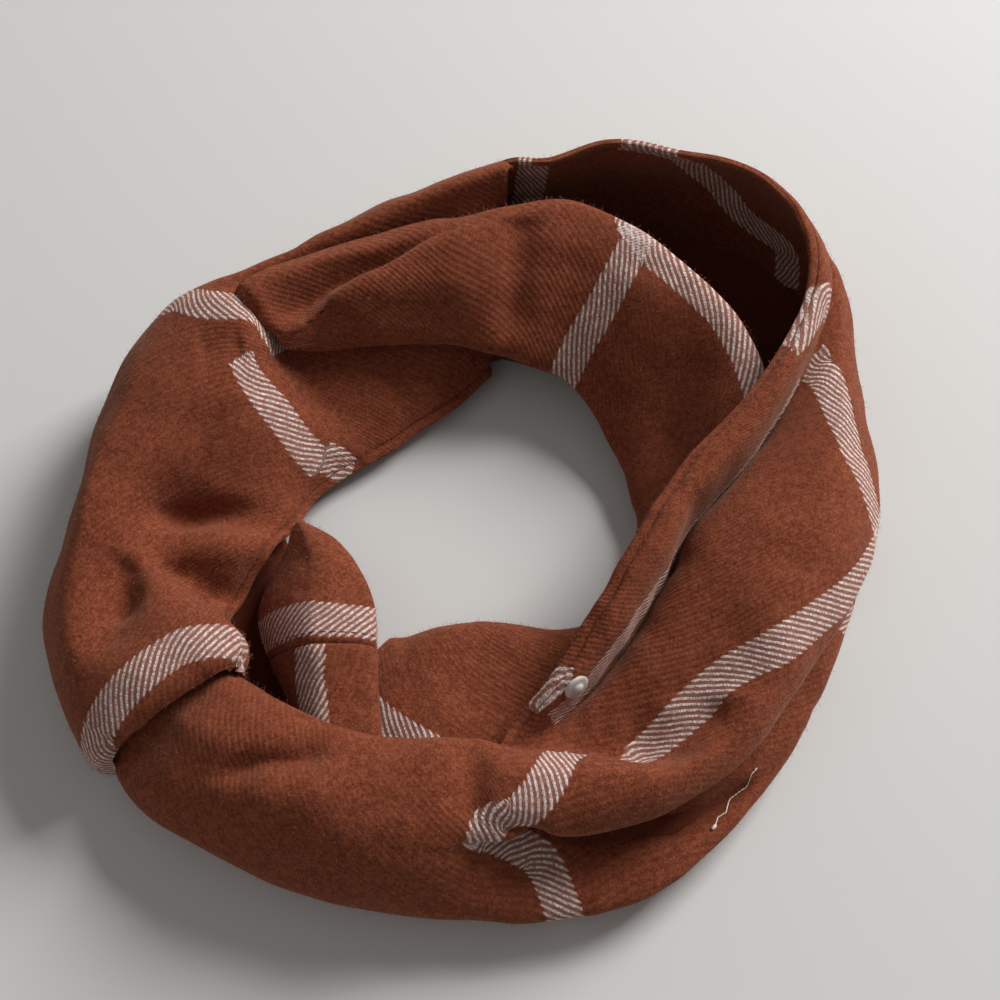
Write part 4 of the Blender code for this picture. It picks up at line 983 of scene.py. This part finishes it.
def growFuzz():
    # short curved fibres of the brushed face, rooted at seeded places and leaning any way
    look = fuzzLook
    draw = np.random.default_rng(look["seed"])
    finish = plainFinish("looseFibre", (0.26, 0.075, 0.036), (0.50, 0.21, 0.13), 0.8, 900.0)
    turn = np.arange(3) * 2 * math.pi / 3
    # a three-sided stem in the fibre's own axes, from its root to a bent tip
    rings = [np.stack([np.cos(turn) * wide, look["radius"] * wide * np.sin(turn) + bend,
                       np.full(3, height)], -1)
             for height, wide, bend in ((-0.1, 1.0, 0.0), (0.5, 0.8, 0.10))]
    template = np.concatenate([*rings, [[0.0, 0.42, 1.0]]])
    faces = [[k, (k + 1) % 3, 3 + (k + 1) % 3, 3 + k] for k in range(3)]
    faces += [[3 + k, 3 + (k + 1) % 3, 6] for k in range(3)]
    parts = []
    for cloth in (leftCloth, rightCloth, innerCloth, flapUpper, flapLower):
        count = look["counts"][cloth["piece"].name]
        stations, columns = cloth["stations"], cloth["lines"]
        rows, cols = draw.uniform(0, len(stations) - 1, count), draw.uniform(0, len(columns) - 1, count)
        places, out, course = onCloth(cloth, np.interp(rows, np.arange(len(stations)), stations),
                                      np.interp(cols, np.arange(len(columns)), columns))
        spin = draw.uniform(0, 2 * math.pi, count)[:, None]
        side = course * np.cos(spin) + np.cross(out, course) * np.sin(spin)
        stem = unit(out + side * draw.uniform(0.1, 1.6, count)[:, None] * look["lean"])
        bend = unit(np.cross(stem, np.cross(side, stem)))
        long = draw.uniform(*look["length"], count)[:, None]
        parts.append((places, np.cross(bend, stem) * look["radius"], bend, stem * long))
    places, x, y, z = (np.concatenate(part) for part in zip(*parts))
    fuzz = copiesMesh("brushedFuzz", template, faces, places, (x, y, z), finish)
    print("fuzz grown", len(places), "fibres")


growFuzz()


# the stud's (radius, height) in mm from its post's rounded top, over its rim, to its flat back
snapProfile = ((0.0, 1.35), (0.6, 1.30), (1.1, 1.14), (1.4, 0.90), (1.5, 0.68), (1.9, 0.58), (2.7, 0.54),
               (3.15, 0.40), (3.4, 0.12), (3.45, -0.1), (3.3, -0.38), (2.7, -0.5))


def moulded(name, profile, centre, axis, finish, sides=48):
    # a turned solid: the profile's (radius, height) points spun round its axis, closed below
    profile = np.array(profile)
    turn = np.arange(sides) * 2 * math.pi / sides
    z = unit(axis)
    x = unit(np.cross(z, [0.0, 1.0, 0.0]))
    y = np.cross(z, x)
    rings = profile[1:]
    points = (rings[:, 0][:, None, None] * (np.cos(turn)[:, None] * x + np.sin(turn)[:, None] * y)
              + rings[:, 1][:, None, None] * z).reshape(-1, 3)
    points = np.concatenate([points, [profile[0][1] * z, profile[-1][1] * z]]) + centre
    index = np.arange(len(rings) * sides).reshape(len(rings), sides)
    after = np.roll(index, -1, axis=1)
    faces = np.stack([index[:-1], index[1:], after[1:], after[:-1]], -1).reshape(-1, 4).tolist()
    top, low = len(rings) * sides, len(rings) * sides + 1
    faces += [[top, index[0, k], after[0, k]] for k in range(sides)]
    faces += [[low, after[-1, k], index[-1, k]] for k in range(sides)]
    return meshObject(name, rowPoints(points), faces, finish)


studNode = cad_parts["snap_stud"]
corners = np.array([corner.co for corner in studNode.data.vertices]) / mm + np.array([*ringMiddle, 0.0])
studMiddle = (corners.min(0) + corners.max(0)) / 2
studAxis = np.linalg.svd(corners - corners.mean(0), full_matrices=False)[2][2]
studAxis *= 1 if studAxis[:2] @ studMiddle[:2] > 0 else -1
snapFinish = plainFinish("palePlastic", (0.46, 0.44, 0.40), (0.57, 0.55, 0.51), 0.5, 300.0,
                         Subsurface_Weight=0.25, Subsurface_Scale=0.002)
snapSeat = 1.2  # mm that the stud sinks to its cloth, which is thinner than the solid's wall
snap = moulded("snapStud", snapProfile, studMiddle - studAxis * snapSeat, studAxis, snapFinish)
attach(snap, "root")
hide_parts("snap_stud")
print("snap set at", studMiddle.round(1).tolist(), "facing", studAxis.round(2).tolist())

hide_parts("left_stretch")
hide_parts("right_stretch")
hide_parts("inner_stretch")
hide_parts("flap_upper")
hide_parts("flap_lower")
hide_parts("hidden_layers")


roomSet = {"floorTones": ((0.66, 0.65, 0.63), (0.60, 0.59, 0.57)), "floorReach": 3.0, "floorDrop": 0.0002,
           "world": 0.19, "worldTone": (1.0, 0.985, 0.97, 1.0),
           # a light's power, size and place
           "lights": {"keyLight": (33.0, 0.66, (0.98, 0.90, 0.92)),
                      "fillLight": (0.6, 0.9, (-0.55, -0.35, 0.7))}}


def makeRoom():
    # the pale floor, the two soft lights and the even light all round
    room = roomSet
    dye = Dye("paleFloor")
    place = dye.node("ShaderNodeTexCoord", None, out="Object")
    tone = dye.mix(dye.noise(place, 6.0, 3.0) * 0.2, *room["floorTones"])
    finish = dye.finish(Base_Color=tone, Roughness=0.9)
    corners = np.array([(a, b, 0.0) for a, b in ((-1, -1), (1, -1), (1, 1), (-1, 1))]) * room["floorReach"]
    floor = meshObject("floor", corners - (0.0, 0.0, room["floorDrop"]), [[0, 1, 2, 3]], finish)
    for name, (power, spread, spot) in room["lights"].items():
        lamp = bpy.data.objects.new(name, bpy.data.lights.new(name, "AREA"))
        lamp.data.energy, lamp.data.size = power, spread
        lamp.location = spot
        lamp.rotation_euler = Vector(spot).to_track_quat("Z", "Y").to_euler()
        scene.collection.objects.link(lamp)
    world = bpy.data.worlds.new("softRoom")
    world.use_nodes = True
    world.node_tree.nodes["Background"].inputs["Color"].default_value = room["worldTone"]
    world.node_tree.nodes["Background"].inputs["Strength"].default_value = room["world"]
    scene.world = world
    scene.view_settings.view_transform = "Standard"


# degrees, metres and the target's millimetres
cameraSet = {"elevation": 65.0, "fieldOfView": 40.0, "distance": 0.3925, "target": (10.0, 20.0)}


def placeCamera():
    # a camera that looks down at the target from the front
    c = cameraSet
    rise = math.radians(c["elevation"])
    back = Vector((0.0, -math.cos(rise), math.sin(rise)))
    target = Vector(((c["target"][0] - ringMiddle[0]) * mm, (c["target"][1] - ringMiddle[1]) * mm, 0.0))
    camera = bpy.data.objects.new("camera", bpy.data.cameras.new("camera"))
    camera.data.sensor_width = 36.0
    camera.data.lens = 18.0 / math.tan(math.radians(c["fieldOfView"] / 2))
    camera.data.clip_start = 0.01
    camera.location = target + back * c["distance"]
    camera.rotation_euler = back.to_track_quat("Z", "Y").to_euler()
    scene.collection.objects.link(camera)
    scene.camera = camera


makeRoom()
placeCamera()
print("room and camera set")
